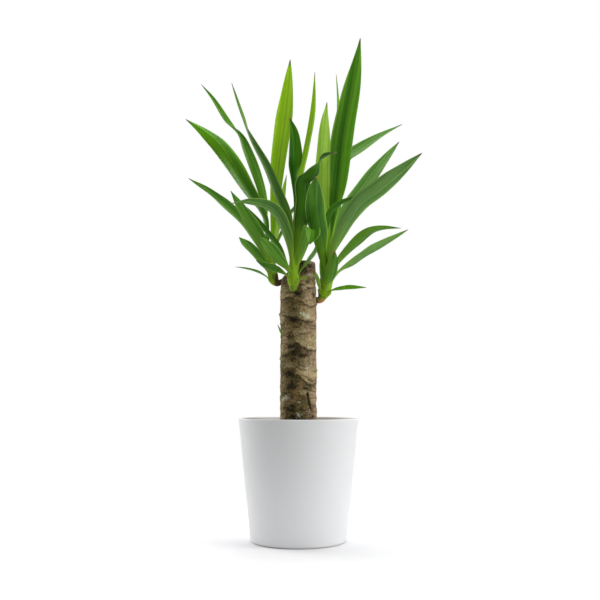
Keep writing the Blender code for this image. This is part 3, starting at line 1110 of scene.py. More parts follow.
@dataclass
class Cane:
    """The sawn cane, with its leaf scars, hollows, lips, lichen and flakes."""

    marks: list[Mark]
    radius: float = 0.029
    neck_radius: float = 0.0275
    foot: float = CANE_FOOT
    top: float = 0.440
    shoulder: float = 0.413  # the height of the cut's low left end
    shoulder_reach: float = 0.004  # how far right of the axis the slant starts
    neck: float = 0.404  # where the cane has narrowed
    soil_level: float = 0.171
    sides: int = 200
    cuts: tuple[int, int] = (79, 2)
    cap_rings: tuple[float, ...] = (0.97, 0.92, 0.84, 0.74, 0.62, 0.48, 0.33, 0.17)
    lip_height: float = 0.0011
    hollow_depth: float = 0.0010
    knob_height: float = 0.0016
    crack_depth: float = 0.0028
    flake: float = 0.0011
    front: float = 68.0  # how far the front's own marks reach to each side, in degrees

    def __post_init__(self) -> None:
        """Adds the scars that run round the cane in a spiral, away from the front."""
        divergence, rise, first, last = 137.5, 7.3, 172.0, 428.0
        chance = random.Random(11)
        for number in range(int((last - first) / rise)):
            angle = (number * divergence + 180) % 360 - 180
            if abs(angle) < self.front:
                continue
            height = first + number * rise
            wide, tall = chance.uniform(36, 54), chance.uniform(17, 26)
            depth, tilt = chance.uniform(0.2, 0.9), chance.uniform(-4, 4)
            self.marks.append(Mark(Scar.PLATE, angle, height, wide, tall, depth, tilt))
            spot = angle + chance.uniform(-25, 25)
            # A dark patch below the plate's lip: painted shade under the scar.
            self.marks.append(Mark(Scar.SHADE, spot, height - 7, 26, 11, chance.uniform(0.3, 0.9)))
            if number % 4 == 0:
                self.marks.append(Mark(Scar.LICHEN, spot, height + 8, 13, 7, 0.8))

    def cut_height(self, x: np.ndarray) -> np.ndarray:
        """The height of the saw cut: level on the right, slanted down to the left.

        Args:
            x: How far to the right each point lies.

        Returns:
            The cut's height there.
        """
        reach = self.shoulder_reach + self.neck_radius
        slanted = self.top - (self.shoulder_reach - x) * (self.top - self.shoulder) / reach
        return np.minimum(self.top, slanted)

    def swell(self, heights: np.ndarray) -> np.ndarray:
        """The cane's radius before its scars.

        Args:
            heights: The height of each point.

        Returns:
            The radius there.
        """
        neck = self.neck_radius - self.radius
        known = {
            self.foot: 0, self.soil_level: 0, 0.225: -0.0003, 0.270: 0.0006, 0.315: -0.0004, 0.355: 0.0006,
            0.392: 0, self.neck: neck, self.top: neck,
        }
        return self.radius + np.interp(heights, list(known), list(known.values()))

    def build(self) -> bpy.types.Object:
        """Models the cane from an open tube: capped, then scarred.

        Returns:
            The cane.
        """
        cane = Bench.tube("cane_bark", self.sides, self.cuts)
        with Bench.editing(cane, "EDGE"):
            Bench.pick("edges", Bench.open_at(0.0))
            bpy.ops.mesh.edge_face_add()
            Bench.pick("edges", Bench.open_at(1.0))
            for before, ring in zip((1.0, *self.cap_rings), self.cap_rings):
                Bench.next_ring(ring / before, 1.0)
            bpy.ops.mesh.edge_face_add()
            Bench.turn_outwards()
        corners = cane.data.vertices
        sawn = [
            face.index for face in cane.data.polygons
            if all(corners[i].co.z > 1 - TOUCHING for i in face.vertices)
        ]
        self._shape(cane)
        for index in sawn:
            cane.data.polygons[index].material_index = 1
        Bench.smooth(cane, 55)
        Bench.hand_in(cane, "cane", "cane", Bark().material(), SawnWood().material())
        return cane

    def _shape(self, cane: bpy.types.Object) -> None:
        """Moves the tube's points to the cane's scarred surface and paints what the bark reads.

        Args:
            cane: The tube, of radius 1 and height 1.
        """
        points = Bench.points(cane)
        share = points[:, 2].copy()
        inwards = np.hypot(points[:, 0], points[:, 1])
        angle = np.arctan2(points[:, 0], -points[:, 1])
        sunk = 0.17  # the share of rows that lie in the soil
        level = self.soil_level - 0.006
        top = self.cut_height(np.sin(angle) * self.neck_radius)
        above = level + (top - level) * (share - sunk) / (1 - sunk)
        height = np.where(share < sunk, self.foot + (level - self.foot) * share / sunk, above)
        radius = self.swell(height)
        spots = [Vector((sin(a) * r, -cos(a) * r, z)) for a, r, z in zip(angle, radius, height)]
        lip, hollow, plate, shade, moss, knob = self._marks(spots, angle, height)
        crack = self._crack(angle, height)
        rings = np.array([abs(noise.noise(Vector((p.x * 40, p.y * 40, p.z * 170)))) for p in spots])
        wrinkle = np.clip(1 - rings * 7, 0, 1)
        rough, coarse = rugged(spots, 60, (0.9, 2.1, 4)), soft(spots, 24)
        raised = lip * self.lip_height - hollow * self.hollow_depth - shade * 0.0003
        raised += rough * 0.0006 + coarse * 0.0008 + knob * self.knob_height - wrinkle * 0.0005
        raised += np.clip(soft(spots, 150, (5, 3, 1)) - 0.40, 0, 1) * self.flake * 4
        raised -= crack * self.crack_depth
        cap = share > 1 - TOUCHING
        on_side = ~cap | (inwards > 1 - TOUCHING)
        body = np.clip((self.top - height) / 0.012, 0.35, 1)  # smoother close to the saw cut
        rounding = np.clip(1 - (top - height) / 0.004, 0, 1) ** 2 * 0.0010
        outline = radius + raised * body
        reach = np.where(on_side, outline - rounding, (outline - 0.001) * inwards)
        moved = np.stack([np.sin(angle) * reach, -np.cos(angle) * reach, height], axis=1)
        dents = rugged([Vector((x, y, 1.0)) for x, y, _ in moved], 130, (0.8, 2.0, 3))
        sawn = np.minimum(self.cut_height(moved[:, 0]) + dents * 0.0005, self.top) - 0.0002
        moved[:, 2] = np.where(cap, sawn, moved[:, 2])
        Bench.move(cane, moved)
        # Painted light: rim is 1 on the right side, towards the key lamp, and up to 0.5 on the far left edge,
        # towards the rim lamp; the knobs' own pink is added to it.
        rim = np.clip(np.sin(angle) * 1.1 - 0.1, 0, 1) + 0.5 * np.clip(-np.sin(angle), 0, 1) ** 4
        # The hollows under the lips and the wrinkles are painted dark as shade by the bark.
        Bench.paint(
            cane, lip=lip, hollow=np.clip(hollow + wrinkle * 0.35, 0, 1), plate=plate, shade=shade,
            moss=moss, crack=crack, rim=np.clip(rim + knob, 0, 1),
        )

    def _marks(self, spots: list[Vector], angle: np.ndarray, height: np.ndarray) -> list[np.ndarray]:
        """Works out how strong each kind of mark is at each point.

        Args:
            spots: The points.
            angle: Each one's direction from the front.
            height: Its height.

        Returns:
            The strengths of lips, hollows, plates, shades, lichen and knobs.
        """
        lip, hollow, plate = (np.zeros(len(angle)) for _ in range(3))
        blobs = {kind: np.zeros(len(angle)) for kind in (Scar.SHADE, Scar.LICHEN, Scar.KNOB)}
        spots = [spot * 55 for spot in spots]
        drift = soft(spots, 0.45, (2, 9, 5))
        ragged = rugged(spots, 3.0, (0.8, 2.0, 3), (7, 1, 4))
        wander = soft(spots, 1) * 3.2 + drift * 6.0 + ragged * 1.5
        whole = np.clip(0.62 + 1.9 * soft(spots, 1.1, (3, 3, 8)), 0, 1)
        for mark in self.marks:
            aside = (angle - radians(mark.angle) + pi) % (2 * pi) - pi
            across = (aside + drift * 0.25 + ragged * 0.05) / radians(mark.wide)
            up = (height / MM - mark.height + across * mark.tilt + wander) / mark.tall
            if mark.kind in blobs:
                blob = np.exp(-(across**2 + (up * 2) ** 2)) * mark.depth
                blobs[mark.kind] = np.maximum(blobs[mark.kind], blob)
                continue
            up -= across**2 * 0.28  # the lip hangs lowest in its middle
            window = np.clip(1 - across**2, 0, 1) ** 0.5
            lip_here = np.exp(-(((up - 0.03) / 0.065) ** 2)) * window
            # The hollow under the lip, which the bark paints dark as shade.
            hollow_here = np.exp(-(((up + 0.11) / 0.085) ** 2)) * window
            plate_here = np.clip(up / 0.12, 0, 1) * np.clip((1.0 - up) / 0.5, 0, 1) * window
            held = whole + (1 - whole) * mark.depth**2
            lip = np.maximum(lip, lip_here * (0.35 + 0.65 * mark.depth) * held)
            hollow = np.maximum(hollow, hollow_here * (0.4 + 0.5 * mark.depth) * held)
            plate = np.maximum(plate, plate_here * mark.depth)
        shade, moss, knob = blobs.values()
        shade, hollow = shade * (1 - knob), hollow * (1 - knob)
        return [lip, hollow, plate * (1 - 0.8 * shade), shade, moss, knob]

    @staticmethod
    def _crack(angle: np.ndarray, height: np.ndarray) -> np.ndarray:
        """The upright crack low on the front, right of its middle.

        Args:
            angle: Each point's direction from the front.
            height: Its height.

        Returns:
            How deep the crack is there, 0 to 1.
        """
        start, end = (30.5, 228.5), (43.5, 203.0)  # degrees from the front and millimetres up
        along = np.clip((start[1] - height / MM) / (start[1] - end[1]), 0, 1)
        middle = start[0] + (end[0] - start[0]) * along**1.3
        beyond = np.abs(height / MM - np.clip(height / MM, end[1], start[1]))
        aside = np.abs(np.degrees(angle) - middle) * 0.5
        width = 1.9 - 1.0 * along
        return np.clip(1.5 * np.exp(-((aside / width) ** 2) - (beyond / 1.6) ** 2), 0, 1)


# Each mark's angle, height, wide, tall, depth and, where it has one, tilt.
FRONT_MARKS = {
    Scar.PLATE: [
        (-20, 352, 52, 20, 0.30, 0), (40, 348, 38, 21, 0.75, 1), (12, 325, 34, 17, 0.40, 1),
        (-55, 322, 36, 20, 0.45, -2), (34, 299, 52, 27, 1.00, 7), (-48, 292, 38, 24, 0.45, -1),
        (18, 270, 36, 20, 0.50, 1), (-34, 268, 28, 18, 0.50, 0), (36, 248, 46, 22, 0.90, 7),
        (-42, 236, 38, 20, 0.25, 0), (12, 226, 26, 17, 0.50, 1), (56, 214, 30, 22, 0.60, 2),
        (-8, 204, 34, 16, 0.25, -1), (-56, 206, 30, 18, 0.40, 1), (12, 184, 46, 14, 0.20, 0),
        (-2, 376, 44, 15, 0.45, 0), (46, 371, 34, 17, 0.60, 1), (-50, 378, 34, 20, 0.55, -1),
        (34, 398, 40, 22, 0.50, 2),
    ],
    # Dark patches of bark; the one at 62 degrees and 385 mm is painted shade where the right shoot leaves the
    # cane.
    Scar.SHADE: [
        (-13, 346, 28, 12, 0.80), (-18, 361, 22, 12, 0.45), (-18, 297, 32, 20, 0.95),
        (14, 288, 30, 10, 0.80), (-14, 333, 30, 12, 0.55), (-43, 316, 20, 9, 0.90),
        (-20, 281, 22, 12, 0.65), (-16, 247, 20, 14, 0.55), (8, 272, 16, 10, 0.40),
        (-33, 257, 22, 14, 1.00), (-30, 238, 30, 16, 0.70), (20, 238, 22, 6, 0.55),
        (-29, 206, 22, 12, 1.00), (0, 193, 44, 11, 0.75), (44, 190, 30, 10, 0.70),
        (-10, 386, 30, 9, 0.90), (24, 424, 34, 18, 0.75), (62, 385, 16, 14, 0.80),
        (46, 428, 26, 22, 0.85), (12, 433, 14, 10, 0.90), (56, 410, 12, 10, 0.90),
        (34, 406, 18, 10, 0.70), (58, 334, 18, 14, 0.55), (-2, 276, 20, 14, 0.55),
    ],
    Scar.LICHEN: [
        (38, 416, 10, 5, 0.80), (18, 396, 14, 8, 0.70), (24, 358, 18, 10, 0.75), (38, 354, 12, 9, 1.00),
        (14, 328, 13, 9, 0.55), (22, 265, 10, 5, 0.80), (-51, 219, 17, 9, 0.95), (5, 197, 14, 7, 0.85),
        (36, 301, 16, 4, 0.60), (30, 272, 9, 6, 0.90), (2, 217, 9, 4, 0.75),
    ],
    Scar.KNOB: [(-50, 319, 14, 13, 1.00), (-30, 269, 17, 5, 0.80), (34, 262, 22, 16, 0.45)],
}


# ---------------------------------------------------------------- shoots and leaves


@dataclass(frozen=True)
class Leaf:
    """How one leaf grows.

    Attributes:
        at: Its place along the shoot, 0 to 1.
        seat: The compass angle at which it leaves the shoot.
        turn: How far it first turns its face.
        twist: How much further it turns up to its tip, all in degrees.
        width: Its greatest width, in millimetres.
        points: The points after its seat up to its tip, in millimetres.
        tone: Its kind of green.
        dry: How much of its tip is dry, as a share of its length.
        flip: Where along it turns over sharply, and by how many degrees.
        widest: Where along it is widest.
        taper: How long it stays wide before it narrows to its tip.
        fold: How deeply it is folded along its middle, as a share of half its width.
        dim: How much darker its lower half is, 0 to 1, as painted shade.
        side: How much darker its right half is, 0 to 1, or its left half if negative, as painted shade on
            that half of the fold.
    """

    at: float
    seat: float
    turn: float
    twist: float
    width: float
    points: list[Point]
    tone: Tone = Tone.MIDDLE
    dry: float = 0.0
    flip: tuple[float, float] = (0.0, 0.0)
    widest: float = 0.52
    taper: float = 2.0
    fold: float = 0.26
    dim: float = 0.0
    side: float = 0.0


@dataclass(frozen=True)
class Section:
    """A leaf's cross-section.

    Attributes:
        place: Its middle.
        across: The direction to its right margin.
        inner: The direction in which its upper face looks.
        half: Half its width, along its curve.
        bend: How far the section curls to each side, in radians.
    """

    place: Vector
    across: Vector
    inner: Vector
    half: float
    bend: float


@dataclass
class Shoot:
    """One leafy shoot.

    Attributes:
        name: Its name.
        points: The points that it passes, in millimetres.
        radii: Its radius at each of them, in millimetres.
        leaves: Its leaves, from the lowest.
        blush: How orange its underside is.
        slim: How thick it is where it leaves the cane, compared with those radii.
        stub: How far from the cane's axis its brown part reaches, in millimetres.
        steps: How many rows it is cut into.
        sides: How many sides it has.
        core: How thick its mesh is, compared with its skin, so that leaves clasp it.
    """

    name: str
    points: list[Point]
    radii: list[float]
    leaves: list[Leaf]
    blush: float = 0.0
    slim: float = 0.72
    stub: float = 36
    steps: int = 40
    sides: int = 40
    core: float = 0.97

    def __post_init__(self) -> None:
        """Works out the shoot's line, its directions and its radii in metres."""
        self.line = Curve.smooth([Vector(p) * MM for p in self.points], self.steps + 1)
        sizes = Curve.smooth([(r * MM, i * MM, 0) for i, r in enumerate(self.radii)], self.steps + 1)
        self.radius = [size.x for size in sizes]
        shares = [i / self.steps for i in range(self.steps + 1)]
        self.skin = [r * (self.slim + (1 - self.slim) * ease(s / 0.5)) for r, s in zip(self.radius, shares)]
        self.direction = Curve.directions(self.line)

    def outside(self, place: Vector) -> float:
        """How far a place lies outside the shoot's skin, in metres."""
        return min((place - p).length - r for p, r in zip(self.line, self.radius))

    def build(self) -> bpy.types.Object:
        """Models the shoot from a tube that is closed at both ends and led along its line.

        Returns:
            The shoot.
        """
        stem = Bench.tube(f"{self.name}_stem", self.sides, (self.steps - 1,))
        with Bench.editing(stem, "EDGE"):
            for height in (0.0, 1.0):
                Bench.pick("edges", Bench.open_at(height))
                Bench.next_ring(0.5, height)
                bpy.ops.mesh.edge_face_add()
            Bench.turn_outwards()
        side = self.direction[0].orthogonal().normalized()
        frames = []
        for before, direction in zip([self.direction[0], *self.direction], self.direction):
            side = before.rotation_difference(direction) @ side
            frames.append((side, direction.cross(side)))
        points = Bench.points(stem)
        slopes = np.zeros(len(points))
        for number, (x, y, z) in enumerate(points.tolist()):
            row = round(z * self.steps)
            right, up = frames[row]
            way = right * x + up * y
            slopes[number] = way.normalized().z
            ridge = 1 + 0.03 * noise.noise(Vector((x * 3, y * 3, row * 0.25)))
            points[number] = self.line[row] + way * self.skin[row] * ridge * self.core
        Bench.move(stem, points)
        from_axis = np.hypot(points[:, 0], points[:, 1])
        from_floor = points[:, 2] - points[:, 2].min()
        stub = np.clip((self.stub * MM - from_axis) / 0.010, 0, 1)
        under = np.clip(1 - from_floor / 0.012, 0, 1) * np.clip(0.6 - slopes, 0, 1)
        Bench.paint(stem, stub=stub, under=under * self.blush)
        Bench.apply(stem, "SUBSURF", levels=1, render_levels=1)
        Bench.smooth(stem, 80)
        return stem


@dataclass
class Blade:
    """A single leaf as a thin closed shell, from its clasping base to its tip.

    Attributes:
        name: Its name.
        leaf: How it grows.
        shoot: The shoot that it grows on, if it isn't the sprout.
        layer: How far its base is lifted to lie over those of the leaves above it, in metres.
        columns: How many faces it has across.
        base_rows: How many rows its base has.
        blade_rows: How many rows it has from its seat to its tip.
        base_share: Its width at its seat, as a share of its greatest.
        tip_share: Its width at its tip, as a share of its greatest.
        turn_done: Where along it the first turn of its face is over.
        seat_depth: How far out its seat is, as a share of the shoot's radius.
        thickness: Its greatest thickness, in metres.
        sheath_length: How far its base reaches down the shoot, in metres.
        sheath_floor: How far along the shoot the lowest bases start.
        clearance: How far outside the shoot its free part starts, in metres.
        latest_join: The row by which its base ends, at the latest.
        bite: How far out its base starts, as a share of the shoot's radius.
        clasp: How far its base curls to each side, in radians.
        curl: How far it curls to each side in its middle, in radians.
        base_curl: How much more it curls at its seat.
        tip_uncurl: How much less it curls at its tip.
        flip_span: Over what share of its length it turns over.
        sway: How far its face turns to and fro, in degrees.
        ripple: How much its width comes and goes, as a share of it.
    """

    name: str
    leaf: Leaf
    shoot: Shoot | None
    layer: float = 0.0
    columns: int = 8
    base_rows: int = 12
    blade_rows: int = 40
    base_share: float = 0.30
    tip_share: float = 0.045
    turn_done: float = 0.35
    seat_depth: float = 0.55
    thickness: float = 0.0015
    sheath_length: float = 0.016
    sheath_floor: float = 0.27
    clearance: float = 0.0008
    latest_join: int = 14
    bite: float = 0.96
    clasp: float = 1.25
    curl: float = 0.34
    base_curl: float = 0.55
    tip_uncurl: float = 0.18
    flip_span: float = 0.16
    sway: float = 3.0
    ripple: float = 0.025

    def width_share(self, share: float) -> float:
        """How wide the blade is, compared with its widest place.

        Args:
            share: The place, as a share of the blade's length.

        Returns:
            Its width there, 0 to 1.
        """
        widest = self.leaf.widest
        if share < widest:
            return self.base_share + (1 - self.base_share) * ease(share / widest)
        taper = 1 - ((share - widest) / (1 - widest)) ** self.leaf.taper
        return max(taper, self.tip_share)

    def seat_side(self, direction: Vector) -> Vector:
        """The level direction across the leaf's seat, turned square to another direction."""
        side = Vector((-sin(radians(self.leaf.seat)), cos(radians(self.leaf.seat)), 0))
        return (side - direction * side.dot(direction)).normalized()

    def blade_sections(self) -> list[Section]:
        """The sections from the leaf's seat to its tip.

        Returns:
            The sections, evenly spaced.
        """
        leaf = self.leaf
        points = [Vector(p) * MM for p in leaf.points]
        if self.shoot:
            place = round(leaf.at * self.shoot.steps)
            outwards = Vector((cos(radians(leaf.seat)), sin(radians(leaf.seat)), 0))
            points.insert(0, self.shoot.line[place] + outwards * self.shoot.radius[place] * self.seat_depth)
        line = Curve.smooth(points, self.blade_rows + 1)
        directions = Curve.directions(line)
        side = self.seat_side(directions[0])
        wave = random.Random(self.name)
        phase, waves = wave.uniform(0, 6.28), wave.uniform(2.0, 3.5)
        found = []
        for i, (spot, direction) in enumerate(zip(line, directions)):
            share = i / self.blade_rows
            if i:
                side = directions[i - 1].rotation_difference(direction) @ side
            angle = radians(leaf.turn * ease(share / self.turn_done) + leaf.twist * share)
            angle += radians(self.sway) * sin(waves * 2 * pi * share + phase) * ease(share * 4)
            angle += radians(leaf.flip[1]) * ease((share - leaf.flip[0]) / self.flip_span + 0.5)
            across = Quaternion(direction, angle) @ side
            ripple = 1 + self.ripple * sin(waves * 9 * share + phase)
            half = leaf.width * MM * self.width_share(share) / 2 * ripple
            bend = self.curl + self.base_curl * ease(1 - share / 0.30)
            bend -= self.tip_uncurl * ease((share - 0.6) / 0.4)
            found.append(Section(spot, across, direction.cross(across), half, bend))
        return found

    def sections(self) -> list[Section]:
        """All sections, with those of the base that clasps the shoot first.

        Returns:
            The sections, from the lowest.
        """
        blade = self.blade_sections()
        if not self.shoot:
            return blade
        shoot, leaf = self.shoot, self.leaf
        clear = (i for i, section in enumerate(blade) if shoot.outside(section.place) > self.clearance)
        join = min(next(clear, self.latest_join), self.latest_join) + 1
        step = (shoot.line[1] - shoot.line[0]).length
        lowest = round(self.sheath_floor * shoot.steps)
        start = max(round(leaf.at * shoot.steps - self.sheath_length / step), lowest)
        upwards = shoot.direction[start]
        side = self.seat_side(upwards)
        outwards = side.cross(upwards)
        radius = shoot.skin[start] * self.bite + self.layer * 0.15
        first = shoot.line[start] + outwards * radius
        last = blade[join]
        along = last.across.cross(last.inner)
        span = (last.place - first).length
        base = []
        for row in range(self.base_rows):
            t = row / self.base_rows
            here, ahead = (
                Curve.between(first, upwards * span, last.place, along * span, at) for at in (t, t + 0.02)
            )
            place = here + outwards * self.layer * ease(t * 2) * ease(2 - t * 2)
            direction = (ahead - here).normalized()
            across = side.lerp(last.across, ease(t))
            across = (across - direction * across.dot(direction)).normalized()
            wide = (radius + self.layer * ease(t * 2)) * self.clasp * (1 - 0.25 * t)
            half = wide + (last.half - wide) * ease(t)
            bend = self.clasp + (last.bend - self.clasp) * ease(t)
            base.append(Section(place, across, direction.cross(across), half, bend))
        return base + blade[join:]

    def build(self) -> bpy.types.Object:
        """Models the leaf from a grid that is laid along its sections, thickened and smoothed.

        Returns:
            The leaf.
        """
        sections = self.sections()
        rows = len(sections) - 1
        leaf = Bench.add(
            self.name, bpy.ops.mesh.primitive_grid_add,
            x_subdivisions=self.columns, y_subdivisions=rows, size=2,
        )
        points = Bench.points(leaf)
        lengths = Curve.lengths([section.place for section in sections])
        blade = np.zeros((len(points), 3))
        weights = np.zeros(len(points))
        for number, point in enumerate(points):
            t = float(point[0])
            row = round((float(point[1]) + 1) / 2 * rows)
            section = sections[row]
            along = lengths[row] / lengths[-1]
            turn = section.bend * t
            valley = (t * t + 0.006) ** 0.5 - 0.077  # a V with a rounded bottom
            keel = self.leaf.fold * ease(along / 0.35) * valley
            aside = section.half * sin(turn) / section.bend
            raised = section.half * ((1 - cos(turn)) / section.bend + keel)
            points[number] = section.place + section.across * aside + section.inner * raised
            blade[number] = (t, along, t * section.half / MM)
            fleshy = 0.42 + 0.58 * ease(1 - along / 0.4)
            weights[number] = fleshy * (0.40 + 0.60 * (1 - t * t) ** 0.5) * (1 - 0.5 * along)
        Bench.move(leaf, points)
        across, along = blade[:, 0], blade[:, 1]
        dried = np.clip((along - 1 + self.leaf.dry) / 0.05, 0, 1) * bool(self.leaf.dry)
        # Painted shade on the lower part and on one half of the folded blade.
        low = self.leaf.dim * np.clip((0.85 - along) / 0.45, 0, 1)
        half = np.clip(across * np.sign(self.leaf.side) / 0.30 + 0.2, 0, 1) * abs(self.leaf.side)
        half *= np.clip(1.25 - along, 0, 1)
        Bench.paint(leaf, blade=blade, dried=dried, dim=np.maximum(low, half))
        self._thicken(leaf, weights, sections[0].inner)
        Bench.smooth(leaf, 80)
        return leaf

    def _thicken(self, leaf: bpy.types.Object, weights: np.ndarray, inner: Vector) -> None:
        """Gives the sheet its thickness, marks its upper face and smooths it.

        Args:
            leaf: The flat leaf.
            weights: How thick each of its points is, as a share of the greatest thickness.
            inner: The direction in which its first section's upper face looks.
        """
        group = leaf.vertex_groups.new(name="thickness")
        for number, weight in enumerate(weights):
            group.add([number], float(weight), "REPLACE")
        count = len(weights)
        faces_up = leaf.data.polygons[0].normal.dot(inner) > 0
        Bench.apply(
            leaf, "SOLIDIFY", thickness=self.thickness, offset=0, vertex_group="thickness",
            thickness_vertex_group=0.15, use_even_offset=False,
        )
        first_side = np.arange(len(leaf.data.vertices)) < count
        Bench.paint(leaf, upper=(first_side == faces_up).astype(float))
        leaf.vertex_groups.clear()
        Bench.apply(leaf, "SUBSURF", levels=1, render_levels=1)


SHOOTS = [
    Shoot("left", [(-22, 2, 412), (-36, 4, 407), (-42, 4, 424), (-47, 4, 450)], [6, 8, 8, 5], [
        Leaf(0.36, 185, 0, 0, 15, [(-62, 2, 422), (-78, -4, 427), (-102, -14, 431)], Tone.MIDDLE),
        Leaf(0.40, 200, 35, 0, 20, [(-62, -12, 442), (-93, -52, 472)], Tone.MIDDLE, taper=3.2),
        Leaf(0.58, 195, 25, 0, 24, [(-60, -8, 455), (-87, -22, 497), (-134, -45, 539), (-172, -65, 563)],
             Tone.MIDDLE, taper=2.3),
        Leaf(0.76, 280, -5, 0, 22, [(-56, -38, 463), (-80.5, -70, 500), (-103, -98, 535)], Tone.MIDDLE,
             dim=0.35, side=-0.5),
        Leaf(0.78, 215, -60, 140, 31,
             [(-53, -6, 480), (-56, -4, 510), (-89.5, 12, 568.5), (-133, 32, 644), (-163, 44, 675),
              (-194, 50, 697)], Tone.FRESH, taper=2.7, fold=0.35, dim=0.95),
        Leaf(0.72, 95, 0, 0, 14, [(-41, 40, 482), (-31, 72, 547), (-21, 98, 612)], Tone.PALE),
        Leaf(0.78, 30, 5, 0, 19, [(-35, 18, 472), (-21, 36, 506), (-11, 50, 532), (56, 95, 617)], Tone.DARK),
        Leaf(0.86, 178, 135, -130, 18,
             [(-55, 14, 501), (-61, 26, 564), (-92, 46, 648), (-107, 54, 675), (-121, 60, 691),
              (-149, 72, 740), (-172, 82, 771)], Tone.MIDDLE, dry=0.03,
             flip=(0.67, -95)),
        Leaf(0.97, 40, 30, 0, 32,
             [(-41, 18, 480), (-38, 34, 551), (-32, 52, 625), (-20, 80, 740), (-15, 100, 824)], Tone.GLOW,
             widest=0.62, dim=0.35),
    ], blush=0.55, slim=0.60, stub=43),
    Shoot("front", [(-9, -21, 393), (-8, -32, 396), (-8, -37, 412), (-7, -39, 440)], [7, 7.5, 8, 5], [
        Leaf(0.40, -20, 45, 0, 7, [(9, -50, 408), (20, -54, 403)], Tone.PALE, dry=0.25, taper=3.0),
        Leaf(0.45, 200, 50, 0, 13, [(-32, -50, 420), (-49, -66, 424), (-65, -80, 431)], Tone.DARK),
        Leaf(0.52, 240, 25, 0, 21, [(-32, -62, 437), (-58, -96, 465)], Tone.MIDDLE),
        Leaf(0.50, 10, 50, 0, 9,
             [(9, -42, 427), (17, -34, 438), (24, -12, 451), (29, -1, 463), (33, 3, 482)], Tone.BLUE),
        Leaf(0.62, 165, 50, 0, 14, [(-30, -40, 456), (-50, -36, 481), (-82, -30, 525)], Tone.DEEP),
        Leaf(0.66, -78, 0, 0, 24,
             [(3, -48, 440), (10, -56, 463), (18, -68, 480), (21, -82, 476), (17, -93, 453)], Tone.MIDDLE,
             widest=0.80, taper=1.7),
        Leaf(0.72, 235, 2, 0, 24,
             [(-19, -56, 475), (-40, -72, 510), (-73, -96, 516), (-101, -112, 512)], Tone.BLUE,
             taper=2.6, fold=0.35),
        Leaf(0.82, 195, 93, -125, 21,
             [(-12, -44, 470), (-17, -56, 506), (-36, -70, 544), (-52, -82, 578), (-74, -94, 616),
              (-88.5, -104, 655), (-102, -112, 700)], Tone.BLUE, flip=(0.75, -18), taper=2.4, dim=0.65),
        Leaf(0.88, -75, 0, 0, 26,
             [(3, -50, 484), (9, -66, 528), (8, -78, 553), (17, -88, 557), (28, -98, 568), (38, -106, 585),
              (58, -118, 589)], Tone.DARK, flip=(0.82, 84), widest=0.42, taper=3.6,
             fold=0.2, dim=0.3),
        Leaf(0.80, 10, 35, 0, 15,
             [(3, -34, 455), (4, -24, 491), (4, -8, 573), (14.5, 6, 627), (25.5, 22, 701), (28, 36, 776)],
             Tone.GLOW, taper=2.6),
        Leaf(0.96, 80, -45, 0, 22,
             [(-5, -38, 480), (-0.5, -44, 533), (-3.5, -50, 572), (-6.5, -60, 635), (-14.5, -66, 662)],
             Tone.DEEP, flip=(0.66, 60), widest=0.72, taper=1.9),
    ], slim=0.84),
    Shoot("right", [(22, 0, 381), (35, 0, 379), (42, 0, 396), (46, 0, 438)], [6, 9, 10, 6], [
        Leaf(0.38, -20, -40, 0, 10, [(62, -16, 394), (82, -28, 395), (107, -42, 394)], Tone.FRESH),
        Leaf(0.42, 215, 0, 0, 7, [(34, -14, 396), (29, -22, 413), (21, -28, 426)], Tone.PALE, dry=0.2,
             taper=3.0),
        Leaf(0.46, 0, -35, 0, 19,
             [(66, 0, 424), (92, 8, 442), (120, 18, 462), (153, 30, 482), (185, 42, 503)],
             Tone.BLUE, taper=2.2),
        Leaf(0.50, -70, -20, 0, 20, [(48, -16, 406), (55, -22, 432), (58, -28, 455)], Tone.MIDDLE, dry=0.1),
        Leaf(0.58, 190, -30, 0, 7, [(39, -8, 405), (35, -12, 447)], Tone.MIDDLE),
        Leaf(0.60, -35, -30, 0, 19,
             [(65, -18, 439), (94, -42, 467), (112, -58, 479), (132, -76, 481), (156, -94, 478)],
             Tone.MIDDLE),
        Leaf(0.66, -25, -60, 0, 30, [(58, -16, 462), (95, -42, 526), (128, -56, 549), (191, -84, 598)],
             Tone.SILVER, widest=0.6, fold=0.3),
        Leaf(0.72, -60, -10, 0, 12,
             [(42, -7, 476), (51, -18, 518), (67, -26, 532), (86, -34, 539), (103, -42, 547)], Tone.DEEP),
        Leaf(0.72, 8, 72, 0, 26,
             [(59, 8, 468), (76, 24, 520), (112, 42, 577), (142, 56, 619), (175, 72, 664)], Tone.SILVER,
             taper=2.4),
        Leaf(0.78, -100, 5, 0, 32,
             [(38, -12, 450), (33, -34, 478), (27, -66, 503), (25, -102, 527), (26, -134, 548)], Tone.DEEP,
             widest=0.5, taper=2.8, fold=0.35, dim=0.4),
        Leaf(0.87, 90, 0, 0, 26,
             [(51, 22, 475), (60, 31, 530), (66, 46, 592), (77, 57, 627), (100, 68, 646), (143, 84, 678),
              (184, 98, 703.5)], Tone.SILVER, taper=1.6),
        Leaf(0.88, 182, -62, 0, 34, [(38.7, 20, 501), (39.7, 58, 618), (44.7, 84, 698), (50.5, 98, 744)],
             Tone.PALE),
        Leaf(0.93, 100, 55, 0, 18,
             [(49, 14, 491), (55, 30, 566), (64, 48, 658), (67, 62, 728), (66, 72, 786)], Tone.FRESH,
             dry=0.02, taper=3.0),
        Leaf(0.97, -15, 80, 0, 42,
             [(53, -4, 461), (60, -2, 501), (67, 6, 558), (81, 22, 669), (100, 38, 781), (107, 46, 840)],
             Tone.COOL, fold=0.5, side=1.0),
    ], blush=1.0),
]

SPROUT = Leaf(0, 215, 0, 0, 5, [(-22, -15, 314), (-29, -19, 326), (-33, -21, 338)], Tone.FRESH, dry=0.3)


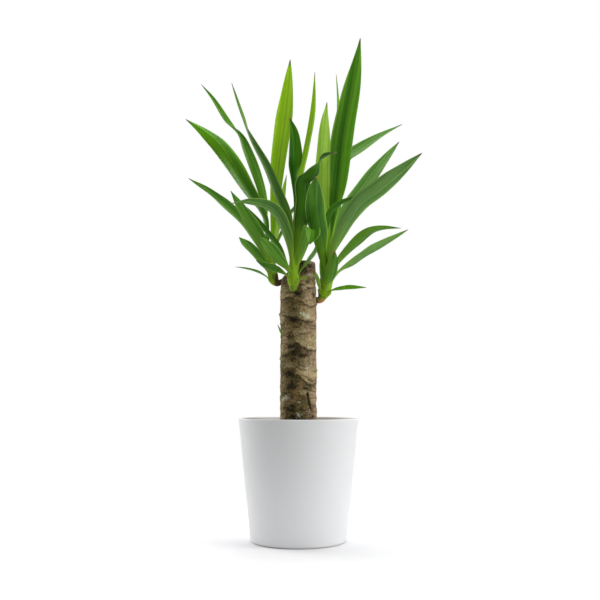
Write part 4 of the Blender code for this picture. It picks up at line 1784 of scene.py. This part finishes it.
@dataclass
class Heads:
    """The three heads of leaves and the sprout low on the cane."""

    shoots: list[Shoot]
    sprout: Leaf
    layer: float = 0.00020  # how far each leaf's base lies outside the next one's, in metres

    def build(self) -> None:
        """Models every shoot and leaf and hands them in."""
        skins = {tone: LeafSkin(tone).material() for tone in Tone}
        stem_skin = ShootSkin().material()
        for shoot in self.shoots:
            Bench.hand_in(shoot.build(), f"{shoot.name}_shoot", "shoot", stem_skin)
            for number, leaf in enumerate(shoot.leaves, 1):
                layer = (len(shoot.leaves) - number) * self.layer
                name = f"{shoot.name}_leaf_{number:02d}"
                piece = Blade(f"{name}_blade", leaf, shoot, layer).build()
                Bench.hand_in(piece, name, "leaf", skins[leaf.tone])
        sprout = Blade("sprout_blade", self.sprout, None, base_share=0.8, blade_rows=16, columns=4).build()
        Bench.hand_in(sprout, "cane_sprout", "leaf", skins[self.sprout.tone])


# ---------------------------------------------------------------- studio


@dataclass(frozen=True)
class Lamp:
    """A soft square lamp.

    Attributes:
        name: Its name.
        place: Where it hangs.
        side: The length of its side.
        power: Its power in watts.
    """

    name: str
    place: Point
    side: float
    power: float


@dataclass
class Studio:
    """The pale floor, the soft lamps, the white surroundings and the camera."""

    aim: Point = (0, 0, 0.36)
    camera_place: Point = (0.0025, -1.348, 0.228)
    camera_pitch: float = 96.385
    lens: float = 50.4
    floor_reach: float = 1.0
    floor_fade: tuple[float, float] = (0.14, 0.75)
    lamps: tuple[Lamp, ...] = (
        Lamp("key", (1.30, -0.50, 0.85), 1.0, 11.5),
        Lamp("rim", (-1.15, 0.75, 0.75), 0.9, 9.5),
        Lamp("top", (0.1, 0.25, 1.9), 1.2, 14.0),
    )

    def build(self) -> None:
        """Sets the floor, the lamps, the world, the colours and the camera."""
        self._floor()
        for lamp in self.lamps:
            data = bpy.data.lights.new(lamp.name, "AREA")
            data.shape = "SQUARE"
            data.size = lamp.side
            data.energy = lamp.power
            light = self._hang(data, lamp.place)
            aim = Vector(self.aim) - light.location
            light.rotation_euler = aim.to_track_quat("-Z", "Y").to_euler()
        self._surround()
        bpy.context.scene.view_settings.view_transform = "Standard"
        data = bpy.data.cameras.new("camera")
        data.lens = self.lens
        camera = self._hang(data, self.camera_place)
        camera.rotation_euler = (radians(self.camera_pitch), 0, 0)
        bpy.context.scene.camera = camera

    @staticmethod
    def _hang(data: bpy.types.ID, place: Point) -> bpy.types.Object:
        """Puts a lamp or a camera in its place.

        Args:
            data: The lamp or camera.
            place: Where it hangs.

        Returns:
            Its object.
        """
        hung = bpy.data.objects.new(data.name, data)
        hung.location = place
        bpy.context.scene.collection.objects.link(hung)
        return hung

    def _floor(self) -> None:
        """Lays a round pale floor that fades into the white around it."""
        floor = Bench.add(
            "studio_floor", bpy.ops.mesh.primitive_circle_add,
            vertices=96, radius=self.floor_reach, fill_type="NGON", location=(0, 0, -0.0002),
        )
        tree = Tree("studio_floor")
        x, y, _ = tree.parts(tree.place())
        fade = ((x * x + y * y) ** 0.5).rise(*self.floor_fade)
        card = tree.surface({"Base Color": (0.95, 0.95, 0.96, 1.0), "Roughness": 0.9})
        clear = tree.node("ShaderNodeBsdfTransparent").outputs[0]
        floor.data.materials.append(tree.close(card, clear, factor=fade))

    @staticmethod
    def _surround() -> None:
        """Makes white surroundings that light the plant more from behind than from the front."""
        tree = Tree("studio", world=True)
        white = {"Color": (1, 1, 1, 1)}
        backwards = tree.parts(tree.node("ShaderNodeTexCoord").outputs["Generated"])[1]
        ranges = {"From Min": -0.5, "From Max": 0.8, "To Min": 0.33, "To Max": 0.86}
        strength = tree.value("ShaderNodeMapRange", {"Value": backwards, **ranges})
        lit = tree.node("ShaderNodeBackground", {**white, "Strength": strength}).outputs[0]
        seen = tree.node("ShaderNodeBackground", white).outputs[0]
        in_view = tree.node("ShaderNodeLightPath").outputs["Is Camera Ray"]
        bpy.context.scene.world = tree.close(lit, seen, factor=in_view)


def main() -> None:
    """Builds the plant, piece by piece, and the studio round it."""
    logging.basicConfig(level=logging.INFO, format="%(message)s")
    pot = Pot()
    pot.build()
    SoilBed(pot).build()
    Cane([Mark(kind, *row) for kind, rows in FRONT_MARKS.items() for row in rows]).build()
    Heads(SHOOTS, SPROUT).build()
    Studio().build()


if __name__ == "__main__":
    main()
